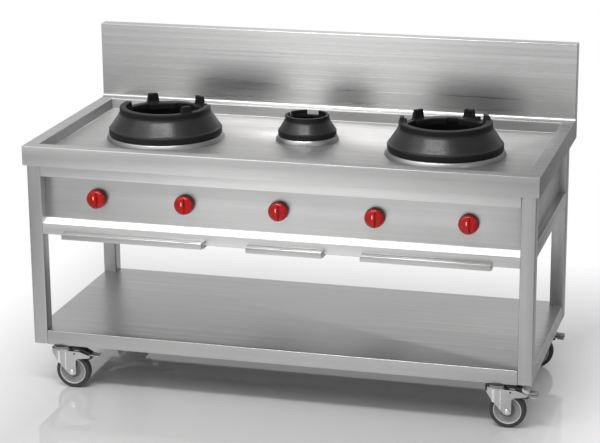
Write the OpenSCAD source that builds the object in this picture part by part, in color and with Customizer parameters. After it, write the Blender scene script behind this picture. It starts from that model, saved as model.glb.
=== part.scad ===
// Three-burner wok range on castors, in millimetres.
// Built in counter coordinates: x = 0 at the middle of the worktop, y = 0 at the
// front of the apron, z = 0 at the floor. place() then centres it on its own box.

/* [Worktop] */
// Width of the worktop, left to right
counter_w = 1800; // [1780:10:2000]
// Depth of the worktop, front to back
counter_d = 850; // [840:10:1000]
// Height of the worktop rim above the floor
counter_h = 880; // [860:5:950]
// Thickness of the folded steel sheet
sheet = 2; // [1:0.5:3]
// Height of the turned-down apron
apron_h = 69; // [50:1:80]
// Width of the raised rim at the front and sides
rim_w = 47; // [40:1:60]
// Width of the rim strip in front of the backsplash
rear_rim_w = 31; // [20:1:60]
// Depth of the sunk deck below the rim
recess_h = 40; // [20:1:45]

/* [Backsplash] */
// Height of the backsplash above the rim
splash_h = 280; // [150:10:400]
// Thickness of the backsplash, front to back
splash_t = 47; // [30:1:60]
// Radius of the cove at its foot
cove_r = 12; // [5:1:20]

/* [Frame] */
// Width of the square leg tube
leg_w = 50; // [40:1:60]
// Wall of the leg tube
leg_wall = 2; // [1:0.5:4]
// Gap from the front of the apron to the front legs
leg_front_inset = 10; // [8:1:20]
// Gap from the end of the worktop to the legs
leg_side_inset = 12; // [8:1:20]
// Gap from the back of the worktop to the rear legs
leg_rear_inset = 86; // [60:1:120]
// How far the front upper rail shows below the apron
upper_rail_show = 38; // [20:1:60]
// Depth of the lower rails' bottoms below the worktop
lower_rail_drop = 315; // [305:1:330]
// Height of the front and rear lower rails
lower_rail_h = 36; // [20:1:45]
// Depth of the side rails' bottoms below the worktop
side_rail_drop = 286; // [280:1:310]
// Height of the side rails
side_rail_h = 46; // [30:1:60]
// Depth of the rails' turned-in flanges
flange_w = 18; // [12:1:24]
// How far the side panels are set in from the side rails
side_panel_inset = 23; // [10:1:30]

/* [Control panel] */
// How far the control panel is set back from the front legs
panel_setback = 37; // [20:1:40]
// Height of the ledge that slopes up from the rail to the panel
ledge_h = 14; // [5:1:30]

/* [Bottom shelf] */
// Height of the shelf's lip
shelf_lip = 51; // [40:1:80]
// How far the shelf's ends lie inside the legs' outer faces
shelf_end_inset = 2; // [1:1:6]

/* [Burners] */
// Distance from the worktop's ends to the large burners' middles
burner_end_inset = 391; // [380:1:420]
// Distance from the apron to the large burners
burner_y = 392; // [380:1:410]
// Place of the small burner, left to right
small_x = -8; // [-20:1:20]
// Distance from the apron to the small burner
small_y = 480; // [440:1:500]
// Height of the ring seats above the deck
collar_h = 18; // [12:1:24]
// Depth of the burner heads' tops below the deck
burner_drop = 10; // [4:1:14]

/* [Wok rings] */
// Outer radius of a large ring at its foot
ring_foot_r = 202; // [195:1:205]
// Outer radius of a large ring at its rim
ring_rim_r = 163.5; // [155:0.5:170]
// Height of a large ring's foot band
ring_foot_h = 23; // [15:1:30]
// Height of a large ring's cone
ring_cone_h = 55; // [40:1:70]
// Height of a large ring's front wall
ring_wall_h = 21; // [10:1:25]
// Width of a large ring's rim
ring_rim_w = 26; // [20:1:30]
// Outer radius of the small ring at its foot
small_foot_r = 104; // [98:1:106]
// Outer radius of the small ring at its rim
small_rim_r = 80; // [70:1:85]
// Height of the small ring's foot band
small_foot_h = 20; // [10:1:25]
// Height of the small ring's cone
small_cone_h = 36; // [25:1:45]
// Height of the small ring's wall
small_wall_h = 17; // [10:1:20]
// Width of the small ring's rim
small_rim_w = 13; // [10:1:16]
// Width of a lug
lug_w = 36; // [25:1:45]

/* [Controls] */
// Depth of the knobs below the worktop
knob_drop = 182; // [175:1:190]
// Place of the middle knob, left to right
knob_mid_x = 9; // [0:1:20]
// How far the outer knobs stop short of the legs, with the middle knob at 0
knob_end_inset = 186; // [168:1:208]
// How far the knobs between stand outwards of half way
knob_between_out = 8; // [0:1:16]
// Radius of the knob's cap
knob_r = 32.5; // [28:0.5:34]
// How far the knob stands out from the panel
knob_l = 40; // [34:1:46]
// How far a knob is pushed in to turn it on
knob_travel = 4; // [2:0.5:5]
// Radius of the tap spindle
spindle_r = 5; // [4:0.5:6]
// Radius of the tap body
tap_r = 18; // [16:1:20]
// Radius of the gas manifold pipe
manifold_r = 13.45; // [11:0.05:16]
// Radius over the inlet thread
inlet_r = 13.2; // [10:0.1:15]
// Length of the inlet thread
inlet_l = 20; // [15:1:25]

/* [Drip trays] */
// Gap between the left legs and the left tray
tray_left_end = 83; // [78:1:98]
// Gap between the left and middle trays
tray_left_gap = 157; // [140:1:170]
// Left end of the middle tray
tray_mid_x = -90; // [-110:1:-80]
// Width of the middle tray
tray_mid_w = 265; // [240:1:280]
// Gap between the middle and right trays
tray_right_gap = 132; // [120:1:145]
// Gap between the right tray and the right legs
tray_right_end = 90; // [78:1:110]
// Depth of the tray pans below the lower rails
tray_pan_h = 10; // [8:1:12]
// How far the grips stand out from the front rail
grip_d = 37; // [30:1:45]
// Height of the grips
grip_h = 21; // [15:1:22]
// How far the grips' tops stand above the lower rails' bottoms
grip_rise = 17; // [13:1:25]

/* [Castors] */
// Height of a whole castor, floor to legs
castor_h = 158; // [156:1:164]
// Radius of the wheel
wheel_r = 62.5; // [60:0.5:63]
// Width of the wheel
wheel_w = 32; // [28:1:33]
// How far the wheel trails its swivel axis
trail = 38; // [34:1:42]
// Distance from the worktop's left end to the left swivel axes
castor_left_inset = 112; // [105:1:160]
// Distance from the worktop's right end to the right swivel axes
castor_right_inset = 132; // [105:1:160]
// Distance from the apron to the front swivel axes
castor_front_inset = 32; // [28:1:36]
// Distance from the worktop's back to the rear swivel axes
castor_rear_inset = 215; // [170:5:290]
// Reach of the brake pedal from the swivel axis
pedal_reach = 140; // [130:1:150]

/* [Hidden] */
$fn = 64;
over = 1;          // overrun of every cut
seat = 0.3;        // gap where moving or curved faces meet
run = 0.05;        // radial clearance of a turning fit
slip = 1;          // clearance round a part that drops in
root = 3;          // how deep a wall or lug is rooted in the ring below

// Shades
steel = [0.76, 0.76, 0.77];
dull_steel = [0.6, 0.6, 0.62];
iron = [0.14, 0.14, 0.15];
zinc = [0.7, 0.72, 0.75];
brass = [0.72, 0.58, 0.3];
rubber = [0.2, 0.2, 0.21];
red = [0.7, 0.1, 0.09];

// Heights
deck_z = counter_h - recess_h;
deck_under = deck_z - sheet;
seat_z = deck_z + collar_h;
burner_top = deck_z - burner_drop;
shelf_z = castor_h + shelf_lip;
shelf_under = shelf_z - sheet;
lower_rail_z = counter_h - lower_rail_drop;
lower_rail_top = lower_rail_z + lower_rail_h;
side_rail_z = counter_h - side_rail_drop;
panel_z = lower_rail_top + ledge_h;
knob_z = counter_h - knob_drop;
grip_z = lower_rail_z + grip_rise;

// Plan
half_w = counter_w / 2;
recess_back = counter_d - splash_t - rear_rim_w;
leg_out = half_w - leg_side_inset;
leg_in = leg_out - leg_w;
leg_front_y = leg_front_inset;
leg_back_y = counter_d - leg_rear_inset;
leg_rear_y = leg_back_y - leg_w;
leg_len = deck_under - castor_h;
panel_y = leg_front_y + panel_setback;
side_panel_x = leg_out - sheet - side_panel_inset;

burner_x = half_w - burner_end_inset;
knob_step_outer = leg_in - knob_end_inset;
knob_step_inner = knob_step_outer / 2 + knob_between_out;

castor_left_x = castor_left_inset - half_w;
castor_right_x = half_w - castor_right_inset;
castor_rear_y = counter_d - castor_rear_inset;

// The whole part's box sets its origin
x_mid = max(0, castor_right_x + pedal_reach - half_w) / 2;
grip_y = leg_front_y - grip_d;
y_mid = (counter_d + grip_y) / 2;

// Burner collars
collar_flare = 9;
collar_round = 4;
seat_w = 26;
large_hole_r = ring_foot_r - seat_w + sheet;
small_seat_w = 14;
small_hole_r = small_foot_r - small_seat_w + sheet;
collar_drop = 15;

// Burners, share tables are of the burner head's radius
burner_head_r = 85;
burner_head_h = 40;
burner_body_h = 41;
small_head_r = 46;
body_share = 0.5;
jet_ring_share = 0.78;
jet_r = 3;
jets = 12;
inlet_boss_r = 12;
inlet_boss_l = 62;
small_boss_l = 52;
burner_foot = burner_top - burner_head_h - burner_body_h;
strap_w = 40;
strap_t = 4;
strap_foot = 30;
strap_gap = 10;

// Taps, spindles and knobs, measured out from the face of the panel
tap_back = 23;
tap_nose_r = 14;
tap_neck_r = 8;
tap_neck_l = 4;
tap_nut_r = 12;
tap_nut_h = 3;
tap_up = 32;
tap_down = 81;
tap_stub_r = 9;
tap_stub_l = 21;
spindle_in = 30;
spindle_out = 26;
flat_share = 0.6;
knob_back = knob_travel + seat;
skirt_l = 13;
skirt_more = 1.5;
cap_l = 31;
cap_bevel = 3;
grip_w = 11;
grip_round = 2;
cavity_r = 16;
cavity_l = 6;
KNOB_X = [
  knob_mid_x - knob_step_outer, knob_mid_x - knob_step_inner, knob_mid_x,
  knob_mid_x + knob_step_inner, knob_mid_x + knob_step_outer
];
tap_y = panel_y + tap_back;

// Manifold and feed pipes
socket_r = 11;
manifold_back = tap_stub_l + manifold_r + seat;
manifold_y = tap_y + manifold_back;
manifold_left_end = 44;
manifold_right_end = 38;
manifold_run_x = leg_in - manifold_right_end;
inlet_inset = 55;
inlet_y = counter_d - inlet_inset;
pipe_hole_gap = 1.5;
feed_r = 6;
feed_z = burner_foot + inlet_boss_r + slip;

// Drip trays and their runners
tray_left_x = tray_left_end - leg_in;
tray_left_w = tray_mid_x - tray_left_gap - tray_left_x;
tray_right_x = tray_mid_x + tray_mid_w + tray_right_gap;
tray_right_w = leg_in - tray_right_end - tray_right_x;
TRAYS = [
  [tray_left_x, tray_left_w], [tray_mid_x, tray_mid_w], [tray_right_x, tray_right_w]
];
pan_inset = 8;
tray_gap = 1.5;
pan_top = lower_rail_z - tray_gap;
pan_z = pan_top - tray_pan_h;
pan_back_gap = 24;
runner_foot = 14;

// Castors
head_r = 33;
head_h = 14.7;
crown_h = 10;
crown_lip = 5;
crown_z = castor_h - head_h - seat - crown_h;
crown_top = crown_z + crown_h;
king_r = 6;
king_head_r = 10;
king_head_h = 8;
king_nut_r = 10.4;
king_nut_h = 10;
fork_gap = 3;
fork_t = 3;
fork_in = wheel_w + 2 * fork_gap;
fork_out = fork_in + 2 * fork_t;
nose_x = 20;
nose_front_drop = 10;
nose_mid_x = 16;
nose_mid_drop = 49;
axle_r = 6;
axle_boss_r = 14;
axle_head_r = 9;
axle_head_h = 6;
arm_x = 104;
arm_drop = 6;
arm_fall = 31;
arm_slope = 38;
arm_low_drop = 35;
shoulder_x = 28;
cheek_drop = 44;
bracket_w = 68;
bracket_l = 120;
bracket_t = 3;
tyre_round = 6;
tyre_t = 16;
rim_t = 6;
rim_side = 2;
web_t = 8;
hub_r = 14;
hub_gap = 0.3;
brake_x = 48;
brake_z = 129.5;
brake_pin_r = 3;
brake_cheek_w = 28;
pedal_w = 36;
pedal_gap = 2.5;
pedal_under = 3.5;
pedal_knee_x = 72;
pedal_toe_x = 112;
pedal_toe_drop = 12;
pedal_tip_drop = 2;
pedal_blade_t = 7;
pedal_cheek_l = 22;
pedal_cheek_back = 6;

// Centres the model on its own box
module place() {
  translate([-x_mid, -y_mid, 0])
    children();
}

// Block given by its lowest and highest corners
module block(lo, hi) {
  translate(lo)
    cube(hi - lo);
}

// Profile in x and z, extruded along y from y0 for a depth
module slab(y0, depth) {
  translate([0, y0 + depth, 0])
    rotate([90, 0, 0])
      linear_extrude(depth)
        children();
}

// Upright square tube with a closed foot
module leg(x0, y0) {
  color(steel)
    difference() {
      translate([x0, y0, castor_h])
        cube([leg_w, leg_w, leg_len]);
      translate([x0 + leg_wall, y0 + leg_wall, castor_h + leg_wall])
        cube([leg_w - 2 * leg_wall, leg_w - 2 * leg_wall, leg_len]);
    }
}

// Rim, apron and sunk deck folded from one sheet
module hob_top() {
  recess_x = half_w - rim_w;
  color(steel)
    difference() {
      union() {
        difference() {
          block([-half_w, 0, counter_h - apron_h], [half_w, counter_d, counter_h]);
          block([-half_w + sheet, sheet, counter_h - apron_h - over],
                [half_w - sheet, counter_d - sheet, counter_h - sheet]);
        }
        block([-recess_x - sheet, rim_w - sheet, deck_under],
              [recess_x + sheet, recess_back + sheet, counter_h]);
      }
      block([-recess_x, rim_w, deck_z], [recess_x, recess_back, counter_h + over]);
      for (s = [-1, 1])
        translate([s * burner_x, burner_y, deck_under - over])
          cylinder(r = large_hole_r, h = sheet + 2 * over);
      translate([small_x, small_y, deck_under - over])
        cylinder(r = small_hole_r, h = sheet + 2 * over);
    }
}

// Hollow folded upstand with a cove along its foot
module backsplash() {
  y0 = counter_d - splash_t;
  top = counter_h + splash_h;
  color(steel) {
    difference() {
      block([-half_w, y0, counter_h], [half_w, counter_d, top]);
      block([-half_w + sheet, y0 + sheet, counter_h - over],
            [half_w - sheet, counter_d - sheet, top - sheet]);
    }
    translate([-half_w, y0, counter_h])
      rotate([90, 0, 90])
        linear_extrude(counter_w)
          difference() {
            translate([-cove_r, 0])
              square([cove_r + sheet / 2, cove_r]);
            translate([-cove_r, cove_r])
              circle(cove_r);
          }
  }
}

// Strip under the apron with a flange under the deck
module front_rail_upper() {
  color(steel) {
    block([-leg_in, leg_front_y, counter_h - apron_h - upper_rail_show],
          [leg_in, leg_front_y + sheet, deck_under]);
    block([-leg_in, leg_front_y, deck_under - sheet], [leg_in, leg_front_y + leg_w, deck_under]);
  }
}

// Panel between the front legs, drilled for the tap necks, with a ledge down to the rail
module control_panel() {
  rail_y = leg_front_y;
  color(steel)
    difference() {
      union() {
        block([-leg_in, panel_y, panel_z], [leg_in, panel_y + sheet, deck_under - sheet]);
        translate([-leg_in, 0, 0])
          rotate([90, 0, 90])
            linear_extrude(2 * leg_in)
              polygon([
                [rail_y, lower_rail_top], [rail_y + sheet, lower_rail_top],
                [panel_y + sheet, panel_z], [panel_y + sheet, panel_z + sheet],
                [panel_y, panel_z + sheet], [rail_y, lower_rail_top + sheet]
              ]);
      }
      for (x = KNOB_X)
        translate([x, panel_y - over, knob_z])
          rotate([-90, 0, 0])
            cylinder(r = tap_neck_r + seat, h = sheet + 2 * over);
    }
}

// Upright sheet between the legs of one end, with a flange under the deck
module side_panel_right() {
  color(steel) {
    block([side_panel_x - sheet, leg_front_y + leg_w, side_rail_z + side_rail_h],
          [side_panel_x, leg_rear_y, deck_under]);
    block([side_panel_x - sheet - flange_w, leg_front_y + leg_w, deck_under - sheet],
          [side_panel_x, leg_rear_y, deck_under]);
  }
}

// Angle rail whose top flange carries the side panel
module side_rail_right() {
  top = side_rail_z + side_rail_h;
  color(steel) {
    block([leg_out - sheet, leg_front_y + leg_w, side_rail_z], [leg_out, leg_rear_y, top]);
    block([side_panel_x - sheet, leg_front_y + leg_w, top - sheet], [leg_out, leg_rear_y, top]);
  }
}

// Sheet that closes the rear, with a flange under the deck and a hole for the inlet
module back_panel() {
  color(steel)
    difference() {
      union() {
        block([-leg_in, leg_back_y - sheet, lower_rail_top], [leg_in, leg_back_y, deck_under]);
        block([-leg_in, leg_back_y - flange_w, deck_under - sheet],
              [leg_in, leg_back_y, deck_under]);
      }
      translate([manifold_run_x, leg_back_y - sheet - over, knob_z])
        rotate([-90, 0, 0])
          cylinder(r = manifold_r + pipe_hole_gap, h = sheet + 2 * over);
    }
}

// Angle rail with a bottom flange, its web on the outer face y0
module lower_rail(y0, inward) {
  web_y = inward > 0 ? y0 : y0 - sheet;
  flange_y = inward > 0 ? y0 : y0 - sheet - flange_w;
  color(steel) {
    block([-leg_in, web_y, lower_rail_z], [leg_in, web_y + sheet, lower_rail_top]);
    block([-leg_in, flange_y, lower_rail_z],
          [leg_in, flange_y + sheet + flange_w, lower_rail_z + sheet]);
  }
}

// Flat shelf with a turned-down lip, notched round the legs
module bottom_shelf() {
  end_x = leg_out - shelf_end_inset;
  color(steel)
    difference() {
      block([-end_x, leg_front_y, castor_h], [end_x, leg_back_y, shelf_z]);
      block([-end_x + sheet, leg_front_y + sheet, castor_h - over],
            [end_x - sheet, leg_back_y - sheet, shelf_under]);
      for (x = [-leg_out, leg_in], y = [leg_front_y, leg_rear_y])
        translate([x, y, castor_h - over])
          cube([leg_w, leg_w, shelf_lip + 2 * over]);
    }
}

// Low pressed ring that lines a burner hole and seats a wok ring
module collar(foot_r, hole_r) {
  spigot_r = hole_r - slip;
  rotate_extrude()
    polygon([
      [foot_r + collar_flare, deck_z],
      [foot_r + collar_flare, deck_z + sheet],
      [foot_r + collar_round, seat_z - collar_round],
      [foot_r, seat_z],
      [spigot_r - sheet, seat_z],
      [spigot_r - sheet, deck_z - collar_drop],
      [spigot_r, deck_z - collar_drop],
      [spigot_r, seat_z - sheet],
      [foot_r - sheet, seat_z - sheet],
      [foot_r + collar_round - sheet, seat_z - collar_round - sheet],
      [foot_r + collar_flare - sheet, deck_z]
    ]);
}

module burner_collars() {
  color(steel) {
    for (s = [-1, 1])
      translate([s * burner_x, burner_y, 0])
        collar(ring_foot_r, large_hole_r);
    translate([small_x, small_y, 0])
      collar(small_foot_r, small_hole_r);
  }
}

// Cast burner: body, drilled head and an inlet boss to one side
module burner(head_r, boss_l, boss_turn, boss_shift) {
  boss_z = feed_z;
  color(iron)
    difference() {
      union() {
        translate([0, 0, burner_foot])
          cylinder(r = head_r * body_share, h = burner_body_h);
        translate([0, 0, burner_foot + burner_body_h])
          cylinder(r = head_r, h = burner_head_h);
        translate([boss_shift, 0, boss_z])
          rotate([90, 0, boss_turn])
            cylinder(r = inlet_boss_r, h = boss_l);
      }
      for (i = [0 : jets - 1])
        rotate([0, 0, i * 360 / jets])
          translate([head_r * jet_ring_share, 0, burner_top - burner_head_h / 2])
            cylinder(r = jet_r, h = burner_head_h);
    }
}

module burner_left() {
  translate([-burner_x, burner_y, 0])
    burner(burner_head_r, inlet_boss_l, -90, 0);
}

module burner_right() {
  translate([burner_x, burner_y, 0])
    burner(burner_head_r, inlet_boss_l, 90, 0);
}

module burner_centre() {
  translate([small_x, small_y, 0])
    burner(small_head_r, small_boss_l, 0, knob_mid_x - small_x);
}

// U-shaped strap hung from the deck outside a burner hole
module hanger(hole_r) {
  reach = hole_r + strap_gap;
  block([-strap_w / 2, -reach - strap_t, burner_foot - strap_t],
        [strap_w / 2, reach + strap_t, burner_foot]);
  for (s = [-1, 1])
    scale([1, s, 1]) {
      block([-strap_w / 2, reach, burner_foot - strap_t],
            [strap_w / 2, reach + strap_t, deck_under]);
      block([-strap_w / 2, reach, deck_under - strap_t],
            [strap_w / 2, reach + strap_foot, deck_under]);
    }
}

module burner_hangers() {
  color(dull_steel) {
    for (s = [-1, 1])
      translate([s * burner_x, burner_y, 0])
        hanger(large_hole_r);
    translate([small_x, small_y, 0])
      rotate([0, 0, 90])
        hanger(small_hole_r);
  }
}

// Turned body of a wok ring up to the top of its cone, with a locating rib
module ring_body(foot_r, rim_r, foot_h, cone_h, rim_w, seat_width) {
  rib_r = foot_r - seat_width - slip;
  cone_z = seat_z + foot_h + cone_h;
  rotate_extrude()
    polygon([
      [foot_r, seat_z + seat],
      [foot_r, seat_z + foot_h],
      [rim_r, cone_z],
      [rim_r - rim_w, cone_z],
      [rim_r - rim_w, cone_z - rim_w / 2],
      [rib_r - rim_w / 4, seat_z + foot_h],
      [rib_r - rim_w / 4, seat_z - sheet],
      [rib_r - slip, seat_z - sheet],
      [rib_r - slip, seat_z + seat]
    ]);
}

// Upright wall on the rim, running anticlockwise through an angle
module rim_wall(rim_r, rim_w, base_z, wall_h, from_deg, turn_deg) {
  rotate([0, 0, from_deg])
    rotate_extrude(angle = turn_deg)
      translate([rim_r - rim_w + slip, base_z - root])
        square([rim_w - 2 * slip, wall_h + root]);
}

// Upright lug with flared feet, standing on the rim at a bearing
module lug(bearing, mid_r, thick, base_z, height) {
  flare = thick / 2;
  rotate([0, 0, bearing])
    translate([mid_r - thick / 2, 0, base_z])
      rotate([90, 0, 90])
        linear_extrude(thick)
          polygon([
            [-lug_w / 2 - flare, -2 * root], [-lug_w / 2 - flare, 0], [-lug_w / 2, flare],
            [-lug_w / 2, height], [lug_w / 2, height], [lug_w / 2, flare],
            [lug_w / 2 + flare, 0], [lug_w / 2 + flare, -2 * root]
          ]);
}

ring_cone_z = seat_z + ring_foot_h + ring_cone_h;
small_cone_z = seat_z + small_foot_h + small_cone_h;
lug_t = 16;
lug_mid_r = ring_rim_r - ring_rim_w / 2;
lug_h = 36;        // of the lugs behind and beside the pan
front_lug_h = 48;  // of the lug on the front wall
low_lug_h = 14;    // of the step beside a lug at the back

// Large ring: front wall from wall_from through wall_turn, rows of [bearing, height] for the lugs
module large_ring(wall_from, wall_turn, lugs) {
  color(iron) {
    ring_body(ring_foot_r, ring_rim_r, ring_foot_h, ring_cone_h, ring_rim_w, seat_w);
    rim_wall(ring_rim_r, ring_rim_w, ring_cone_z, ring_wall_h, wall_from, wall_turn);
    for (l = lugs)
      lug(l[0], lug_mid_r, lug_t, ring_cone_z, l[1]);
  }
}

module wok_ring_left() {
  translate([-burner_x, burner_y, 0])
    large_ring(168, 209, [[126, lug_h], [53, lug_h], [38, low_lug_h], [318, front_lug_h]]);
}

module wok_ring_right() {
  translate([burner_x, burner_y, 0])
    large_ring(176, 208, [[141, lug_h], [68, lug_h], [53, low_lug_h], [190, lug_h], [27, lug_h]]);
}

// Small ring: three lengths of wall with gaps between them
module wok_ring_centre() {
  color(iron)
    translate([small_x, small_y, 0]) {
      ring_body(small_foot_r, small_rim_r, small_foot_h, small_cone_h, small_rim_w, small_seat_w);
      for (w = [[105, 49], [166, 170], [344, 86]])
        rim_wall(small_rim_r, small_rim_w, small_cone_z, small_wall_h, w[0], w[1]);
    }
}

// Shallow pan under the rails, with a front wall folded over into a grip
module drip_tray(x0, w) {
  x1 = x0 + w;
  px0 = x0 + pan_inset;
  px1 = x1 - pan_inset;
  wall_y = leg_front_y - seat;
  back_y = leg_back_y - pan_back_gap;
  color(steel) {
    difference() {
      block([px0, wall_y - sheet, pan_z], [px1, back_y, pan_top]);
      block([px0 + sheet, wall_y, pan_z + sheet], [px1 - sheet, back_y - sheet, pan_top + over]);
    }
    block([x0, wall_y - sheet, pan_z], [x1, wall_y, grip_z]);
    difference() {
      block([x0, grip_y, grip_z - grip_h], [x1, wall_y, grip_z]);
      block([x0 + sheet, grip_y + sheet, grip_z - grip_h - over],
            [x1 - sheet, wall_y - sheet, grip_z - sheet]);
    }
  }
}

// Angles under each pan's edges, hung from the lower rails' flanges
module tray_runners() {
  foot_top = pan_z - seat;
  color(steel)
    for (t = TRAYS, s = [-1, 1]) {
      edge = s < 0 ? t[0] + pan_inset - slip : t[0] + t[1] - pan_inset + slip;
      web = s < 0 ? [edge - sheet, edge] : [edge, edge + sheet];
      foot = s < 0 ? [edge - sheet, edge + runner_foot] : [edge - runner_foot, edge + sheet];
      block([web[0], leg_front_y + sheet, foot_top - sheet],
            [web[1], leg_back_y - sheet, lower_rail_z]);
      block([foot[0], leg_front_y + sheet, foot_top - sheet],
            [foot[1], leg_back_y - sheet, foot_top]);
    }
}

// Pipe behind the taps, turned back through the rear panel to the inlet thread
module gas_manifold() {
  left = KNOB_X[0] - manifold_left_end;
  color(brass)
    union() {
      translate([left, manifold_y, knob_z])
        rotate([0, 90, 0])
          cylinder(r = manifold_r, h = manifold_run_x - left);
      translate([manifold_run_x, manifold_y, knob_z])
        sphere(r = manifold_r);
      translate([manifold_run_x, manifold_y, knob_z])
        rotate([-90, 0, 0])
          cylinder(r = manifold_r, h = inlet_y - inlet_l - manifold_y);
      translate([manifold_run_x, inlet_y - inlet_l, knob_z])
        rotate([-90, 0, 0])
          cylinder(r = inlet_r, h = inlet_l);
      for (x = KNOB_X)
        translate([x, tap_y + tap_stub_l, knob_z])
          rotate([-90, 0, 0])
            cylinder(r = socket_r, h = manifold_back - tap_stub_l);
    }
}

// Cylinder along the line out of the panel's face, from a to b
module outward(r, a, b) {
  translate([0, -a, 0])
    rotate([90, 0, 0])
      cylinder(r = r, h = b - a);
}

// Upright tap body with a rounded foot, a neck through the panel and a nut in front
module gas_tap() {
  color(brass)
    difference() {
      union() {
        translate([0, tap_back, -tap_down])
          cylinder(r = tap_r, h = tap_down + tap_up);
        translate([0, tap_back, -tap_down])
          sphere(r = tap_r);
        outward(tap_nose_r, -tap_back, -sheet);
        outward(tap_neck_r, -tap_back, tap_neck_l);
        outward(tap_nut_r, 0, tap_nut_h);
        outward(tap_stub_r, -tap_back - tap_stub_l, -tap_back);
      }
      outward(spindle_r + run, -spindle_in - seat, tap_neck_l + over);
    }
}

module gas_taps() {
  for (x = KNOB_X)
    translate([x, panel_y, knob_z])
      gas_tap();
}

// Round stick from a to b along one axis, with a ball at its far end
module pipe_leg(a, b) {
  d = b - a;
  translate(a)
    rotate(d[0] != 0 ? [0, d[0] > 0 ? 90 : -90, 0] : d[1] != 0 ? [-90, 0, 0] : [0, 0, 0])
      cylinder(r = feed_r, h = norm(d));
  translate(b)
    sphere(r = feed_r);
}

// Pipe from the top of a tap, back over the manifold and across to a burner's boss
module feed_pipe(x, y_end, x_end) {
  a = [x, tap_y, knob_z + tap_up];
  b = [x, tap_y, feed_z];
  c = [x, y_end, feed_z];
  d = [x_end, y_end, feed_z];
  pipe_leg(a, b);
  pipe_leg(b, c);
  translate(c)
    rotate([0, d[0] > c[0] ? 90 : -90, 0])
      cylinder(r = feed_r, h = abs(d[0] - c[0]));
}

module burner_feed_pipes() {
  boss_x = burner_x + inlet_boss_l;
  inner_x = burner_x - burner_head_r * body_share;
  color(brass) {
    feed_pipe(KNOB_X[0], burner_y, -boss_x);
    feed_pipe(KNOB_X[1], burner_y, -inner_x + seat);
    feed_pipe(KNOB_X[3], burner_y, inner_x - seat);
    feed_pipe(KNOB_X[4], burner_y, boss_x);
    translate([KNOB_X[2], 0, 0]) {
      pipe_leg([0, tap_y, knob_z + tap_up], [0, tap_y, feed_z]);
      translate([0, tap_y, feed_z])
        rotate([-90, 0, 0])
          cylinder(r = feed_r, h = small_y - small_boss_l - tap_y);
    }
  }
}

// Square-cut half of a shaft's section beyond its flat
module flat_cut(r, a, b) {
  block([-r - over, -b, r * flat_share], [r + over, -a, r + over]);
}

// Tap spindle with a flat that drives the knob
module spindle(i) {
  color(brass)
    translate([KNOB_X[i], panel_y, knob_z])
      difference() {
        outward(spindle_r, -spindle_in, spindle_out);
        flat_cut(spindle_r, cavity_l, spindle_out + over);
      }
}

// Control knob: skirt, bevelled cap and a grip across its face
module knob(i) {
  bore_end = spindle_out + knob_travel + seat;
  bore_r = spindle_r + run;
  face = knob_back + cap_l - cap_bevel;
  color(red)
    translate([KNOB_X[i], panel_y, knob_z])
      difference() {
        union() {
          outward(knob_r + skirt_more, knob_back, knob_back + skirt_l);
          outward(knob_r, knob_back + skirt_l, face);
          translate([0, -face, 0])
            rotate([90, 0, 0])
              cylinder(r1 = knob_r, r2 = knob_r - cap_bevel, h = cap_bevel);
          block([-grip_w / 2, -knob_l, -knob_r + cap_bevel + grip_round],
                [grip_w / 2, -face, knob_r - cap_bevel - grip_round]);
        }
        outward(cavity_r, 0, knob_back + cavity_l);
        difference() {
          outward(bore_r, knob_back, bore_end);
          flat_cut(bore_r, knob_back + cavity_l, bore_end + over);
        }
      }
}

// Moves a castor's pieces to one corner, side -1 at the left and end 1 at the rear
module at_corner(side, end) {
  x = side > 0 ? castor_right_x : castor_left_x;
  y = end > 0 ? castor_rear_y : castor_front_inset;
  translate([x, y, 0])
    children();
}

// Channel under the shelf that takes a king bolt at x, y, its near wall at y0
module castor_bracket(x, y, y0) {
  x0 = x > 0 ? leg_in - bracket_l : -leg_in;
  difference() {
    block([x0, y0, castor_h], [x0 + bracket_l, y0 + bracket_w, shelf_under]);
    block([x0 - over, y0 + bracket_t, castor_h + bracket_t],
          [x0 + bracket_l + over, y0 + bracket_w - bracket_t, shelf_under + over]);
    translate([x, y, castor_h - over])
      cylinder(r = king_r + seat, h = bracket_t + 2 * over);
  }
}

module castor_brackets() {
  color(dull_steel)
    for (x = [castor_left_x, castor_right_x]) {
      castor_bracket(x, castor_front_inset, leg_front_y + sheet);
      castor_bracket(x, castor_rear_y, castor_rear_y - bracket_w / 2);
    }
}

// King bolt with its swivel head and nut
module king_bolt() {
  nut_z = castor_h + bracket_t;
  union() {
    translate([0, 0, crown_z - seat - king_head_h])
      cylinder(r = king_head_r, h = king_head_h);
    translate([0, 0, crown_z - seat - king_head_h])
      cylinder(r = king_r, h = nut_z + king_nut_h + 2 * over - crown_z + seat + king_head_h);
    translate([0, 0, castor_h - head_h])
      cylinder(r = head_r, h = head_h);
    translate([0, 0, nut_z])
      cylinder(r = king_nut_r, h = king_nut_h, $fn = 6);
  }
}

module castor_king_bolts() {
  color(zinc)
    for (side = [-1, 1], end = [-1, 1])
      at_corner(side, end)
        king_bolt();
}

// Outline of the fork seen from above, its walls set in by a distance
module fork_plan(inset) {
  r = fork_out / 2 - inset;
  translate([-nose_x, 0])
    circle(r);
  translate([-nose_x, -r])
    square([nose_x + arm_x + over, 2 * r]);
}

// Outline of the fork seen from the side
module fork_side() {
  arm_top = crown_top - arm_drop;
  nose_tip_x = -nose_x - fork_out / 2 - over;
  translate([trail, wheel_r])
    circle(axle_boss_r);
  polygon([
    [nose_tip_x, crown_top], [nose_tip_x, crown_top - nose_front_drop],
    [-nose_mid_x, crown_top - nose_mid_drop],
    [trail - axle_boss_r, wheel_r - axle_boss_r / 2], [trail + axle_boss_r, wheel_r],
    [trail + axle_boss_r, crown_top - cheek_drop], [arm_x - fork_t, crown_top - arm_low_drop],
    [arm_x, crown_top - arm_fall], [arm_x - arm_slope, arm_top],
    [shoulder_x + arm_drop, arm_top], [shoulder_x, crown_top]
  ]);
}

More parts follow.
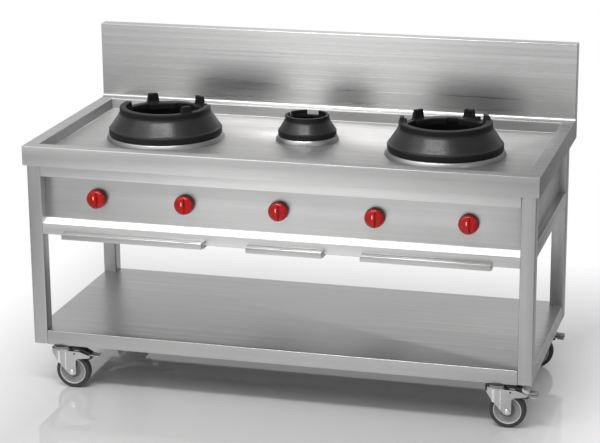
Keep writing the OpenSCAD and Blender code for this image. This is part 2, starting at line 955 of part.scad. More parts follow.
// Pressed fork with a rounded nose and a round crown, the axle bolt and the brake pin in it
module castor_fork() {
  axle_half = fork_out / 2 + seat + axle_head_h;
  color(zinc) {
    difference() {
      union() {
        intersection() {
          difference() {
            linear_extrude(crown_top)
              fork_plan(0);
            translate([0, 0, -over])
              linear_extrude(crown_z + over)
                fork_plan(fork_t);
            block([shoulder_x + arm_drop, -fork_in / 2, 0],
                  [arm_x + 2 * over, fork_in / 2, crown_top + over]);
          }
          slab(-fork_out, 2 * fork_out)
            fork_side();
        }
        translate([0, 0, crown_top - crown_lip])
          cylinder(r = head_r, h = crown_lip);
      }
      translate([0, 0, crown_z - over])
        cylinder(r = king_r + run, h = crown_h + 2 * over);
      translate([trail, -fork_out / 2 - over, wheel_r])
        rotate([-90, 0, 0])
          cylinder(r = axle_r + run, h = fork_out + 2 * over);
      translate([brake_x, -fork_out / 2 - over, brake_z])
        rotate([-90, 0, 0])
          cylinder(r = brake_pin_r + run, h = fork_out + 2 * over);
    }
    translate([trail, 0, wheel_r])
      rotate([90, 0, 0]) {
        translate([0, 0, -axle_half])
          cylinder(r = axle_r, h = 2 * axle_half);
        for (z0 = [-axle_half, axle_half - axle_head_h])
          translate([0, 0, z0])
            cylinder(r = axle_head_r, h = axle_head_h, $fn = 6);
      }
    translate([brake_x, -fork_out / 2, brake_z])
      rotate([-90, 0, 0])
        cylinder(r = brake_pin_r, h = fork_out);
  }
}

// Turned wheel centre: rim, web and hub, with its bore on the axle
module castor_hub() {
  rim_r = wheel_r - tyre_t - hub_gap;
  rim_half = wheel_w / 2 - rim_side;
  hub_half = fork_in / 2 - seat;
  color(dull_steel)
    translate([trail, 0, wheel_r])
      rotate([90, 0, 0])
        rotate_extrude()
          polygon([
            [axle_r + run, -hub_half], [hub_r, -hub_half], [hub_r, -web_t / 2],
            [rim_r - rim_t, -web_t / 2], [rim_r - rim_t, -rim_half], [rim_r, -rim_half],
            [rim_r, rim_half], [rim_r - rim_t, rim_half], [rim_r - rim_t, web_t / 2],
            [hub_r, web_t / 2], [hub_r, hub_half], [axle_r + run, hub_half]
          ]);
}

// Tyre with rounded shoulders
module castor_tyre() {
  half = wheel_w / 2;
  color(rubber)
    translate([trail, 0, wheel_r])
      rotate([90, 0, 0])
        rotate_extrude() {
          translate([wheel_r - tyre_t, -half])
            square([tyre_t - tyre_round, wheel_w]);
          translate([wheel_r - tyre_t, -half + tyre_round])
            square([tyre_t, wheel_w - 2 * tyre_round]);
          for (s = [-1, 1])
            translate([wheel_r - tyre_round, s * (half - tyre_round)])
              circle(tyre_round);
        }
}

// Brake pedal: cover, lever and a cheek on the pivot pin
module castor_pedal() {
  back_x = head_r + pedal_gap;
  body_top = castor_h - pedal_under;
  body_low = crown_top - pedal_under;
  toe_z = crown_top - pedal_toe_drop;
  tip_z = toe_z - pedal_tip_drop;
  cheek_x = brake_x - pedal_cheek_back;
  color(zinc)
    difference() {
      union() {
        slab(-pedal_w / 2, pedal_w)
          polygon([
            [back_x, body_low], [back_x, body_top], [pedal_knee_x, body_top],
            [pedal_toe_x, toe_z + pedal_blade_t], [pedal_reach, tip_z + pedal_blade_t],
            [pedal_reach, tip_z], [pedal_toe_x, toe_z], [pedal_knee_x, crown_top]
          ]);
        block([cheek_x, -brake_cheek_w / 2, brake_z - brake_pin_r],
              [cheek_x + pedal_cheek_l, brake_cheek_w / 2, crown_top]);
      }
      translate([brake_x, -pedal_w / 2 - over, brake_z])
        rotate([-90, 0, 0])
          cylinder(r = brake_pin_r + run, h = pedal_w + 2 * over);
    }
}

// Drawing, one node to a line
place() leg(-leg_out, leg_front_y);  // leg_front_left
place() leg(leg_in, leg_front_y);  // leg_front_right
place() leg(-leg_out, leg_rear_y);  // leg_rear_left
place() leg(leg_in, leg_rear_y);  // leg_rear_right
place() hob_top();
place() backsplash();
place() front_rail_upper();
place() control_panel();
place() mirror([1, 0, 0]) side_panel_right();  // side_panel_left
place() side_panel_right();
place() back_panel();
place() lower_rail(leg_front_y, 1);  // front_rail_lower
place() lower_rail(leg_back_y, -1);  // rear_rail_lower
place() mirror([1, 0, 0]) side_rail_right();  // side_rail_left
place() side_rail_right();
place() bottom_shelf();
place() burner_collars();
place() burner_left();
place() burner_centre();
place() burner_right();
place() burner_hangers();
place() wok_ring_left();
place() wok_ring_centre();
place() wok_ring_right();
place() drip_tray(tray_left_x, tray_left_w);  // drip_tray_left
place() drip_tray(tray_mid_x, tray_mid_w);  // drip_tray_centre
place() drip_tray(tray_right_x, tray_right_w);  // drip_tray_right
place() tray_runners();
place() gas_manifold();
place() gas_taps();
place() burner_feed_pipes();
place() castor_brackets();
place() castor_king_bolts();
place() spindle(0);  // spindle_1
place() spindle(1);  // spindle_2
place() spindle(2);  // spindle_3
place() spindle(3);  // spindle_4
place() spindle(4);  // spindle_5
place() knob(0);  // knob_1
place() knob(1);  // knob_2
place() knob(2);  // knob_3
place() knob(3);  // knob_4
place() knob(4);  // knob_5
place() at_corner(-1, -1) castor_fork();  // castor_fork_front_left
place() at_corner(1, -1) castor_fork();  // castor_fork_front_right
place() at_corner(-1, 1) castor_fork();  // castor_fork_rear_left
place() at_corner(1, 1) castor_fork();  // castor_fork_rear_right
place() at_corner(-1, -1) castor_hub();  // castor_hub_front_left
place() at_corner(1, -1) castor_hub();  // castor_hub_front_right
place() at_corner(-1, 1) castor_hub();  // castor_hub_rear_left
place() at_corner(1, 1) castor_hub();  // castor_hub_rear_right
place() at_corner(-1, -1) castor_tyre();  // castor_tyre_front_left
place() at_corner(1, -1) castor_tyre();  // castor_tyre_front_right
place() at_corner(-1, 1) castor_tyre();  // castor_tyre_rear_left
place() at_corner(1, 1) castor_tyre();  // castor_tyre_rear_right
place() at_corner(-1, -1) castor_pedal();  // castor_pedal_front_left
place() at_corner(1, -1) castor_pedal();  // castor_pedal_front_right
place() at_corner(-1, 1) castor_pedal();  // castor_pedal_rear_left
place() at_corner(1, 1) castor_pedal();  // castor_pedal_rear_right
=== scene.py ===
# %% [markdown]
# # A three-burner wok range, finished in Blender
#
# The imported CAD model is the frame: it fixes every size, place and joint. The cells below give it
# a camera, a studio and materials, and replace what is seen up close with modelled pieces.
# Sizes are in millimetres from the floor, the worktop's middle and the front of its apron, and
# `at` turns them into Blender's metres.

# %% Load the frame
import math

import bpy
from mathutils import Matrix, Vector


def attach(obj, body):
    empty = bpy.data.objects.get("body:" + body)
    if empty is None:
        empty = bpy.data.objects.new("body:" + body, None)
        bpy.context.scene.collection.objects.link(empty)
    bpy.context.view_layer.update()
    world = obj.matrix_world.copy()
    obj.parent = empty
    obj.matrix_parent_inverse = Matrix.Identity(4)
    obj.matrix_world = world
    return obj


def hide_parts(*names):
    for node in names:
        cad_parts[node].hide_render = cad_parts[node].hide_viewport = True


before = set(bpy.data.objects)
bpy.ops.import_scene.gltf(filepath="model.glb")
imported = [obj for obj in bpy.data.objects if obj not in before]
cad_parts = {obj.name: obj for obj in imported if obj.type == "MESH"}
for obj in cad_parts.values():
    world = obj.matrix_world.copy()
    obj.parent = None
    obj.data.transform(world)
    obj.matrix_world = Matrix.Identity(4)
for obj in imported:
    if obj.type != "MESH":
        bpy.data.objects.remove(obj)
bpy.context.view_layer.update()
SHIFT = Vector((4, 411.5, 0))


def at(x, y, z):
    """A place in millimetres, as metres in the row's frame."""
    return (Vector((x, y, z)) - SHIFT) / 1000


# %% Sizes in millimetres
HALF, DEPTH = 900, 850
APRON_FOOT, TOP = 811, 880
RIM, BACK_RIM, DECK_SINK = 47, 31, 40
SPLASH_FRONT, SPLASH_TOP = 803, 1160
SHEET = 2.0
LEG, LEG_FOOT, LEG_TOP = 50, 158, 838
LEGS = {"front_left": (-888, 10), "front_right": (838, 10), "rear_left": (-888, 714), "rear_right": (838, 714)}
BETWEEN_LEGS, BETWEEN_SIDES = (-838, 838), (60, 714)
RAIL_FRONT, RAIL_REAR, RAIL_FOOT = 11, 763, 566
SHELF_HALF, SHELF_TOP = 886, 209
CENTRES = {"left": (-509, 392), "centre": (-8, 480), "right": (509, 392)}
HOLES = {"left": 178, "right": 178, "centre": 92}
KNOBS, KNOB_FACE, KNOB_HEIGHT = [-643, -325, 9, 343, 661], 47, 698
TRAYS = {"left": (-755, -247), "centre": (-90, 175), "right": (307, 748)}
CORNERS = {"front_left": (-788, 32), "front_right": (768, 32), "rear_left": (-788, 635), "rear_right": (768, 635)}
print("worktop", 2 * HALF, "by", DEPTH, "at", TOP)

# %% [markdown]
# ## Camera
# The photograph's lens and place were solved from the corners of the worktop, legs and shelf.

# %% Camera
YAW, PITCH, ROLL = -0.26997, 0.28377, -0.00787
CAMERA_AT = (1849.8, -6341.6, 2596.9)
SENSOR, FOCAL_PIXELS, PICTURE_PIXELS = 36, 2045.74, 600
forward = Vector((math.sin(YAW) * math.cos(PITCH), math.cos(YAW) * math.cos(PITCH), -math.sin(PITCH)))
sideways = Vector((math.cos(YAW), -math.sin(YAW), 0))
upward = sideways.cross(forward)
right = sideways * math.cos(ROLL) + upward * math.sin(ROLL)
above = upward * math.cos(ROLL) - sideways * math.sin(ROLL)
bpy.ops.object.select_all(action="DESELECT")
bpy.ops.object.camera_add(location=at(*CAMERA_AT))
camera = bpy.context.object
camera.name = "camera"
camera.rotation_euler = Matrix((right, above, -forward)).transposed().to_euler()
camera.data.sensor_width = SENSOR
camera.data.lens = SENSOR * FOCAL_PIXELS / PICTURE_PIXELS
camera.data.clip_end = 60
bpy.context.scene.camera = camera
print("camera", [round(v, 3) for v in camera.location], "lens", round(camera.data.lens, 1))

# %% [markdown]
# ## Modelling helpers
# Each one is a short chain of the operators that a modeller would use by hand.

# %% Helpers
OUTWARD = (math.pi / 2, 0, 0)
DOUBLES = 0.00001


def clear():
    """Object mode with nothing selected."""
    if bpy.context.mode != "OBJECT":
        bpy.ops.object.mode_set(mode="OBJECT")
    bpy.ops.object.select_all(action="DESELECT")


def focus(ob):
    clear()
    ob.select_set(True)
    bpy.context.view_layer.objects.active = ob


def settle(ob):
    """Writes the object's place, turn and scale into its mesh."""
    focus(ob)
    bpy.ops.object.transform_apply(location=True, rotation=True, scale=True)
    return ob


def cube(centre, size):
    """A cube stretched to a size, both in metres."""
    clear()
    bpy.ops.mesh.primitive_cube_add(size=1, location=centre)
    ob = bpy.context.object
    ob.scale = size
    return settle(ob)


def block(name, lo, hi):
    """A cube stretched between two corners in millimetres."""
    a, b = at(*lo), at(*hi)
    ob = cube((a + b) / 2, b - a)
    ob.name = name
    return ob


def pick(ob, test, kind="FACE"):
    """Edit mode, with the faces or edges selected that pass a test of their middle and direction."""
    focus(ob)
    bpy.ops.object.mode_set(mode="EDIT")
    bpy.ops.mesh.select_mode(type=kind)
    bpy.ops.mesh.select_all(action="DESELECT")
    bpy.ops.object.mode_set(mode="OBJECT")
    mesh = ob.data
    if kind == "FACE":
        for face in mesh.polygons:
            face.select = bool(test(face.center, face.normal))
    else:
        for edge in mesh.edges:
            a, b = (mesh.vertices[i].co for i in edge.vertices)
            edge.select = bool(test((a + b) / 2, (b - a).normalized()))
    bpy.ops.object.mode_set(mode="EDIT")


def strip(ob, test):
    """Deletes the faces that pass a test."""
    pick(ob, test)
    bpy.ops.mesh.delete(type="FACE")
    clear()


def pull(x, y, z):
    """Extrudes what is selected by a step in millimetres."""
    bpy.ops.mesh.extrude_region_move(TRANSFORM_OT_translate={"value": (x / 1000, y / 1000, z / 1000)})


def point(name, where):
    """A mesh of one selected vertex, in edit mode."""
    clear()
    bpy.ops.mesh.primitive_plane_add(size=0.001, location=where)
    ob = settle(bpy.context.object)
    ob.name = name
    bpy.ops.object.mode_set(mode="EDIT")
    bpy.ops.mesh.select_mode(type="VERT")
    bpy.ops.mesh.select_all(action="SELECT")
    bpy.ops.mesh.merge(type="CENTER")
    return ob


def close_up(ob):
    """Merges doubles and turns the faces outwards."""
    focus(ob)
    bpy.ops.object.mode_set(mode="EDIT")
    bpy.ops.mesh.select_all(action="SELECT")
    bpy.ops.mesh.remove_doubles(threshold=DOUBLES)
    bpy.ops.mesh.normals_make_consistent(inside=False)
    bpy.ops.object.mode_set(mode="OBJECT")


def modify(ob, kind, **values):
    """Adds a modifier and applies it."""
    focus(ob)
    mod = ob.modifiers.new(kind.lower(), kind)
    for key, value in values.items():
        setattr(mod, key, value)
    bpy.ops.object.modifier_apply(modifier=mod.name)


def rounded(ob, width, segments=3, angle=30):
    modify(ob, "BEVEL", width=width / 1000, segments=segments, limit_method="ANGLE",
           angle_limit=math.radians(angle), harden_normals=False)


def shell(ob, thick=SHEET):
    """Gives a skin the thickness of its sheet, inwards."""
    modify(ob, "SOLIDIFY", thickness=thick / 1000, offset=-1, use_even_offset=True)


def smooth(ob, angle=35):
    focus(ob)
    bpy.ops.object.shade_smooth_by_angle(angle=math.radians(angle))


def join(name, parts):
    clear()
    for part in parts:
        part.select_set(True)
    bpy.context.view_layer.objects.active = parts[0]
    bpy.ops.object.join()
    parts[0].name = name
    return parts[0]


def turned(name, profile, steps=64, sweep=360, start=0):
    """A profile of (radius, height) in millimetres, spun anticlockwise round the upright axis from a bearing."""
    r, h = profile[0]
    ob = point(name, (r / 1000, 0, h / 1000))
    for (r0, h0), (r1, h1) in zip(profile, profile[1:]):
        pull(r1 - r0, 0, h1 - h0)
    bpy.ops.mesh.select_all(action="SELECT")
    bpy.ops.transform.rotate(value=-math.radians(start), orient_axis="Z", center_override=(0, 0, 0))
    bpy.ops.mesh.spin(steps=steps, angle=-math.radians(sweep), center=(0, 0, 0), axis=(0, 0, 1))
    bpy.ops.mesh.select_all(action="SELECT")
    bpy.ops.mesh.remove_doubles(threshold=DOUBLES)
    if sweep < 360:
        bpy.ops.mesh.fill_holes(sides=0)
    close_up(ob)
    return ob


def place(ob, x, y, z, tilt=(0, 0, 0)):
    """Moves a piece made about the origin to its place in the row."""
    ob.rotation_euler = tilt
    ob.location = at(x, y, z)
    return settle(ob)


def plate(name, outline, depth, y0=0.0):
    """An outline of (x, z) in millimetres about the origin, filled and given a depth along +Y."""
    x, z = outline[0]
    ob = point(name, (x / 1000, y0 / 1000, z / 1000))
    for (x0, z0), (x1, z1) in zip(outline, outline[1:]):
        pull(x1 - x0, 0, z1 - z0)
    bpy.ops.mesh.select_all(action="SELECT")
    bpy.ops.mesh.edge_face_add()
    pull(0, depth, 0)
    close_up(ob)
    return ob


def folded(name, run, line, along="X", thick=SHEET, fold=2.5):
    """A strip of sheet: its middle line is folded through points (p, z), and it runs along X or Y."""
    (a, b), (p, z) = run, line[0]
    ob = point(name, at(a, p, z) if along == "X" else at(p, a, z))
    pull(*((b - a, 0, 0) if along == "X" else (0, b - a, 0)))
    bpy.ops.mesh.select_all(action="SELECT")
    for (p0, z0), (p1, z1) in zip(line, line[1:]):
        pull(*((0, p1 - p0, z1 - z0) if along == "X" else (p1 - p0, 0, z1 - z0)))
    clear()
    if len(line) > 2:
        rounded(ob, fold)
    modify(ob, "SOLIDIFY", thickness=thick / 1000, offset=0, use_even_offset=True)
    close_up(ob)
    rounded(ob, 0.5, 2)
    smooth(ob)
    return ob


def discard(*pieces):
    for ob in pieces:
        bpy.data.objects.remove(ob, do_unlink=True)


def cut(ob, cutter, operation="DIFFERENCE"):
    """Takes the cutter's shape out of a piece, or keeps what they share, and removes the cutter."""
    modify(ob, "BOOLEAN", operation=operation, solver="EXACT", object=cutter)
    discard(cutter)


def drill(ob, centre, radius, length, axis="Z"):
    """Bores a round hole along Z or Y."""
    clear()
    bpy.ops.mesh.primitive_cylinder_add(vertices=64, radius=radius / 1000, depth=length / 1000,
                                        location=at(*centre), rotation=(0, 0, 0) if axis == "Z" else OUTWARD)
    cut(ob, settle(bpy.context.object))


def copy_to(ob, name, x, y, z):
    """A copy with a mesh of its own, moved by a step in millimetres."""
    twin = ob.copy()
    twin.data = ob.data.copy()
    twin.name = name
    bpy.context.collection.objects.link(twin)
    twin.location = (x / 1000, y / 1000, z / 1000)
    return settle(twin)


def finish_piece(ob, material, body, slot, *nodes):
    """Material, body and the CAD nodes that the piece stands for. The record slot is not used."""
    ob.data.materials.clear()
    ob.data.materials.append(material)
    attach(ob, body)
    if nodes:
        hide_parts(*nodes)
    return ob


# %% [markdown]
# ## Shader groups
# Brushed steel and cast iron share their patterns through groups, which put out colours, masks and
# heights only. Every shader stays in its own material.

# %% Group tools
def group(name, inputs, outputs):
    """A shader group with named sockets, and its input and output nodes."""
    tree = bpy.data.node_groups.new(name, "ShaderNodeTree")
    for label, kind in inputs:
        tree.interface.new_socket(name=label, in_out="INPUT", socket_type="NodeSocket" + kind)
    for label, kind in outputs:
        tree.interface.new_socket(name=label, in_out="OUTPUT", socket_type="NodeSocket" + kind)
    return tree, tree.nodes.new("NodeGroupInput"), tree.nodes.new("NodeGroupOutput")


def node(tree, kind, links=(), **values):
    """A node with settings, and links given as (socket, source output or number)."""
    made = tree.nodes.new("ShaderNode" + kind)
    for key, value in values.items():
        setattr(made, key, value)
    for socket, source in links:
        if hasattr(source, "is_output"):
            tree.links.new(source, made.inputs[socket])
        else:
            made.inputs[socket].default_value = source
    return made


def calc(tree, operation, *values):
    """One step of arithmetic."""
    return node(tree, "Math", enumerate(values), operation=operation).outputs[0]


def vectors(tree, operation, a, b):
    return node(tree, "VectorMath", [(0, a), (1, b)], operation=operation).outputs[0]


def scaled(tree, colour, amount):
    """A colour made lighter or darker."""
    return node(tree, "VectorMath", [(0, colour), ("Scale", amount)], operation="SCALE").outputs[0]


def ranged(tree, source, low, high, out_low, out_high):
    """A value taken from one range to another, and held inside it."""
    return node(tree, "MapRange", [(0, source), (1, low), (2, high), (3, out_low), (4, out_high)]).outputs[0]


def noise(tree, vector, scale, detail, roughness=0.5):
    links = [("Vector", vector), ("Scale", scale), ("Detail", detail), ("Roughness", roughness)]
    return node(tree, "TexNoise", links).outputs["Fac"]


def put_out(tree, end, **sources):
    """Links the results to the group's outputs."""
    for name, source in sources.items():
        tree.links.new(source, end.inputs[name])


# %% Brushed steel group, with painted bands of light and shade
brushed, b_in, b_out = group(
    "Brushed Grain",
    [("Vector", "Vector"), ("Grain", "Vector"), ("Base", "Color"), ("Contrast", "Float"),
     ("Roughness", "Float"), ("Sheen", "Float"), ("Peak", "Float"), ("Reach", "Float")],
    [("Color", "Color"), ("Roughness", "Float"), ("Height", "Float")])
on_steel = b_in.outputs["Vector"]
along = vectors(brushed, "MULTIPLY", on_steel, b_in.outputs["Grain"])
fine = noise(brushed, along, 1.0, 4.0, 0.7)
broad = noise(brushed, along, 0.16, 2.0)
smudge = noise(brushed, on_steel, 2.6, 3.0)
streaks = calc(brushed, "ADD", fine, broad)
swing = calc(brushed, "MULTIPLY", ranged(brushed, streaks, 0.7, 1.3, -1.0, 1.0), b_in.outputs["Contrast"])
gain = calc(brushed, "ADD", swing, 1.0)
tone = calc(brushed, "MULTIPLY", gain, ranged(brushed, smudge, 0.3, 0.7, 0.97, 1.03))
# Painted light and shade: a cosine band across X makes the colour lighter and darker across the width.
across = node(brushed, "SeparateXYZ", [(0, on_steel)]).outputs[0]
from_peak = calc(brushed, "SUBTRACT", across, b_in.outputs["Peak"])
wave = calc(brushed, "COSINE", calc(brushed, "MULTIPLY", from_peak, b_in.outputs["Reach"]))
painted_band_gain = calc(brushed, "MULTIPLY_ADD", wave, b_in.outputs["Sheen"], 1.0)
tinted = scaled(brushed, b_in.outputs["Base"], calc(brushed, "MULTIPLY", tone, painted_band_gain))
rough = calc(brushed, "ADD", ranged(brushed, streaks, 0.7, 1.3, 0.06, -0.06), b_in.outputs["Roughness"])
put_out(brushed, b_out, Color=tinted, Roughness=rough, Height=fine)

# %% Cast iron group, with a painted highlight on the ring's cone
casting, c_in, c_out = group(
    "Cast Skin",
    [("Vector", "Vector"), ("Dark", "Color"), ("Light", "Color"), ("Scale", "Float"), ("Centre", "Vector"),
     ("Low", "Float"), ("High", "Float"), ("Cone", "Float")],
    [("Color", "Color"), ("Roughness", "Float"), ("Height", "Float"), ("Coat", "Float")])
on_iron, grain_scale = c_in.outputs["Vector"], c_in.outputs["Scale"]
grit = noise(casting, on_iron, grain_scale, 5.0, 0.75)
cells = node(casting, "TexVoronoi", [("Vector", on_iron), ("Scale", grain_scale)]).outputs["Distance"]
cloud = noise(casting, on_iron, 14.0, 3.0)
height = node(casting, "SeparateXYZ", [(0, on_iron)]).outputs[2]
offset = vectors(casting, "SUBTRACT", on_iron, c_in.outputs["Centre"])
flat = vectors(casting, "MULTIPLY", offset, (1, 1, 0))
radius = node(casting, "VectorMath", [(0, flat)], operation="LENGTH").outputs["Value"]
# Painted highlight: the outer cone between foot and rim is made lighter and speckled, and given a coat, where light
# falls on the slope.
sloped = calc(casting, "MULTIPLY_ADD", height, 0.7, radius)
outside = calc(casting, "GREATER_THAN", sloped, c_in.outputs["Cone"])
above_foot = calc(casting, "GREATER_THAN", height, c_in.outputs["Low"])
below_rim = calc(casting, "LESS_THAN", height, c_in.outputs["High"])
cone = calc(casting, "MULTIPLY", calc(casting, "MULTIPLY", above_foot, below_rim), outside)
patches = ranged(casting, cloud, 0.35, 0.65, 0.6, 1.0)
speckle = calc(casting, "MULTIPLY", ranged(casting, grit, 0.38, 0.58, 0.3, 1.0), patches)
painted_highlight_mask = calc(casting, "MULTIPLY", speckle, cone)
blend = node(casting, "Mix", [("Factor", painted_highlight_mask)], data_type="RGBA")
casting.links.new(c_in.outputs["Dark"], blend.inputs[6])
casting.links.new(c_in.outputs["Light"], blend.inputs[7])
skin = calc(casting, "ADD", grit, ranged(casting, cells, 0.0, 0.6, 0.0, 0.5))
put_out(casting, c_out, Color=blend.outputs[2], Roughness=ranged(casting, painted_highlight_mask, 0.0, 1.0, 0.5, 0.4),
        Height=skin, Coat=ranged(casting, painted_highlight_mask, 0.0, 1.0, 0.0, 0.62))

# %% Moulded and plain group
moulded, m_in, m_out = group(
    "Fine Mottle",
    [("Vector", "Vector"), ("Base", "Color"), ("Scale", "Float"), ("Amount", "Float"), ("Roughness", "Float")],
    [("Color", "Color"), ("Roughness", "Float"), ("Height", "Float")])
spots = noise(moulded, m_in.outputs["Vector"], m_in.outputs["Scale"], 4.0)
shift = calc(moulded, "MULTIPLY", ranged(moulded, spots, 0.3, 0.7, -1.0, 1.0), m_in.outputs["Amount"])
shade = scaled(moulded, m_in.outputs["Base"], calc(moulded, "ADD", shift, 1.0))
dull = calc(moulded, "ADD", shift, m_in.outputs["Roughness"])
put_out(moulded, m_out, Color=shade, Roughness=dull, Height=spots)
print("groups", [g.name for g in bpy.data.node_groups])


# %% Material recipes
def material(name, recipe, values, bump=0.0, distance=0.001, **constants):
    """A Principled material fed by one of the groups. Constants go straight on the shader's sockets."""
    mat = bpy.data.materials.new(name)
    mat.use_nodes = True
    tree = mat.node_tree
    shader = tree.nodes["Principled BSDF"]
    on_object = tree.nodes.new("ShaderNodeTexCoord").outputs["Object"]
    pattern = tree.nodes.new("ShaderNodeGroup")
    pattern.node_tree = recipe
    tree.links.new(on_object, pattern.inputs["Vector"])
    for key, value in values.items():
        pattern.inputs[key].default_value = value
    tree.links.new(pattern.outputs["Color"], shader.inputs["Base Color"])
    tree.links.new(pattern.outputs["Roughness"], shader.inputs["Roughness"])
    if "Coat" in pattern.outputs:
        tree.links.new(pattern.outputs["Coat"], shader.inputs["Coat Weight"])
    if bump:
        relief = node(tree, "Bump", [("Height", pattern.outputs["Height"]), ("Strength", bump), ("Distance", distance)])
        tree.links.new(relief.outputs[0], shader.inputs["Normal"])
    for key, value in constants.items():
        shader.inputs[key.replace("_", " ")].default_value = value
    return mat


def steel(name, tone, grain, contrast=0.05, roughness=0.34, bump=0.3, painted_sheen=0.0, peak=0.0, reach=3.7):
    """Brushed steel. Its grain runs along the axis with the small scale, and painted bands of light and shade roll
    across the width.
    """
    values = {"Base": (tone, tone * 0.993, tone * 0.99, 1), "Grain": grain, "Contrast": contrast,
              "Roughness": roughness, "Sheen": painted_sheen, "Peak": peak, "Reach": reach}
    return material(name, brushed, values, bump, 0.0002, Metallic=1.0)


def iron(name, centre, low, high, cone, dark=0.005, light=0.012):
    """Cast iron, near black, with a painted highlight on the cone of a ring about a centre: lighter and speckled there.
    """
    values = {"Dark": (dark, dark, dark, 1), "Light": (light, light, light * 1.04, 1), "Scale": 260.0,
              "Centre": at(*centre, 0), "Low": low, "High": high, "Cone": cone}
    return material(name, casting, values, 0.5, 0.0008, Specular_IOR_Level=0.28, Coat_Roughness=0.26)


def plain(name, colour, scale, amount, roughness, bump=0.0, distance=0.001, **constants):
    """A moulded, painted or plated surface with a fine mottle."""
    values = {"Base": (*colour, 1), "Scale": scale, "Amount": amount, "Roughness": roughness}
    return material(name, moulded, values, bump, distance, **constants)


# %% Materials
ALONG_X, ALONG_Y, ALONG_Z = (2.5, 420, 420), (420, 2.5, 420), (420, 420, 2.5)
# These steels are one brushed stainless. Their tones differ part by part, lighter on the front rails, panel and
# backsplash and darker on the deck, sides, legs, shelf and trays, and the deck, apron, rails, panel and backsplash also
# get painted bands across their width: painted light and shade.
STEEL_TOP = steel("steel_top", 0.43, ALONG_X, 0.07, 0.46, 0.03, 0.2, -0.7, 1.85)
STEEL_APRON_LIT = steel("steel_apron", 0.6, ALONG_X, 0.05, 0.34, 0.2, 0.2, -0.9, 1.75)
STEEL_COLLAR_SHADE = steel("steel_collar", 0.36, ALONG_X, 0.04, 0.4)
STEEL_RECESS_SHADE = steel("steel_recess", 0.4, ALONG_X, 0.06, 0.36)
STEEL_FRONT = steel("steel_front", 0.73, ALONG_X, 0.05, 0.36, 0.3, 0.08, -0.9, 1.7)
STEEL_TRAY = steel("steel_tray", 0.54, ALONG_X, 0.05, 0.36)
STEEL_PANEL = steel("steel_panel", 0.62, ALONG_X, 0.06, 0.36, 0.3, 0.08, -0.05)
STEEL_SPLASH = steel("steel_splash", 0.67, ALONG_X, 0.08, 0.3, 0.08, 0.16)
STEEL_SIDE = steel("steel_side", 0.5, ALONG_Y, 0.06, 0.36)
STEEL_LEG = steel("steel_leg", 0.48, ALONG_Z, 0.07, 0.34)
STEEL_SHELF = steel("steel_shelf", 0.45, ALONG_X, 0.06, 0.33)
STEEL_INNER = steel("steel_inner", 0.5, ALONG_X, 0.06, 0.45)
# Painted light: the ledge under the control panel is near white and glows a little from its own emission.
LEDGE_GLOW = plain("ledge_bright", (0.97, 0.97, 0.97), 60.0, 0.02, 0.5, 0.02, 0.0002,
              Emission_Color=(1, 1, 1, 1), Emission_Strength=0.08)
IRON = {side: iron("cast_iron_" + side, CENTRES[side], 0.8815, 0.9345, 0.811) for side in ("left", "right")}
IRON["centre"] = iron("cast_iron_centre", CENTRES["centre"], 0.8785, 0.912, 0.709)
IRON_BURNER = iron("cast_iron_burner", (0, 0), 0.0, 2.0, -9.0, 0.02, 0.09)
RED = plain("knob_red", (0.4, 0.004, 0.0025), 60.0, 0.05, 0.22, 0.03, 0.0002, Specular_IOR_Level=0.28)
MARK = plain("knob_mark", (0.9, 0.62, 0.56), 60.0, 0.03, 0.4)
BLACK = plain("knob_black", (0.012, 0.012, 0.013), 120.0, 0.05, 0.4, 0.05, 0.0003)
ZINC = plain("castor_zinc", (0.52, 0.52, 0.525), 45.0, 0.06, 0.34, 0.03, 0.0003, Metallic=1.0)
# Painted highlight: the fork's beads and axle and the pedal's edge strip take a brighter zinc than the fork.
ZINC_HIGHLIGHT = plain("castor_zinc_light", (0.8, 0.8, 0.81), 45.0, 0.04, 0.25, 0.03, 0.0003, Metallic=1.0)
DARK_METAL = plain("castor_dark", (0.05, 0.05, 0.055), 70.0, 0.08, 0.42, 0.05, 0.0003)
HUB = plain("castor_hub", (0.26, 0.26, 0.265), 90.0, 0.06, 0.45, 0.05, 0.0003)
# Painted shade: the dished centre of the hub takes a darker grey.
HUB_SHADE = plain("castor_hub_dark", (0.11, 0.11, 0.112), 90.0, 0.06, 0.4, 0.05, 0.0003)
HUB_RIM = plain("castor_rim", (0.55, 0.55, 0.56), 90.0, 0.05, 0.4, 0.03, 0.0003)
TYRE = plain("castor_tyre", (0.035, 0.035, 0.037), 160.0, 0.1, 0.6, 0.12, 0.0004)
BRASS = plain("brass", (0.6, 0.42, 0.17), 40.0, 0.06, 0.35, 0.03, 0.0003, Metallic=1.0)
print("materials", len(bpy.data.materials))

# %% [markdown]
# ## Worktop and backsplash
# The worktop is one folded sheet: a shell whose rim is inset and whose middle is pressed down.

# %% Worktop
top = block("worktop", (-HALF, 0, APRON_FOOT), (HALF, DEPTH, TOP))
strip(top, lambda c, n: n.z < -0.5)
pick(top, lambda c, n: n.z > 0.5)
bpy.ops.mesh.inset(thickness=RIM / 1000)
inset_rear = at(0, DEPTH - RIM, 0)
pick(top, lambda c, d: abs(c.y - inset_rear.y) < 0.001 and abs(d.x) > 0.9 and c.z > 0.87, "EDGE")
bpy.ops.transform.translate(value=(0, -BACK_RIM / 1000, 0))
deck = at(0, (DEPTH - BACK_RIM) / 2, 0)
pick(top, lambda c, n: n.z > 0.5 and abs(c.x - deck.x) < 0.01 and abs(c.y - deck.y) < 0.01)
pull(0, 0, -DECK_SINK)
clear()
rounded(top, 3.0, 4)
shell(top)
for side, hole in HOLES.items():
    drill(top, (*CENTRES[side], TOP - DECK_SINK), hole, 30)
rounded(top, 0.5, 2, 50)
smooth(top)
finish_piece(top, STEEL_TOP, "frame", "sheet_steel", "hob_top")
top.data.materials.append(STEEL_RECESS_SHADE)
top.data.materials.append(STEEL_APRON_LIT)
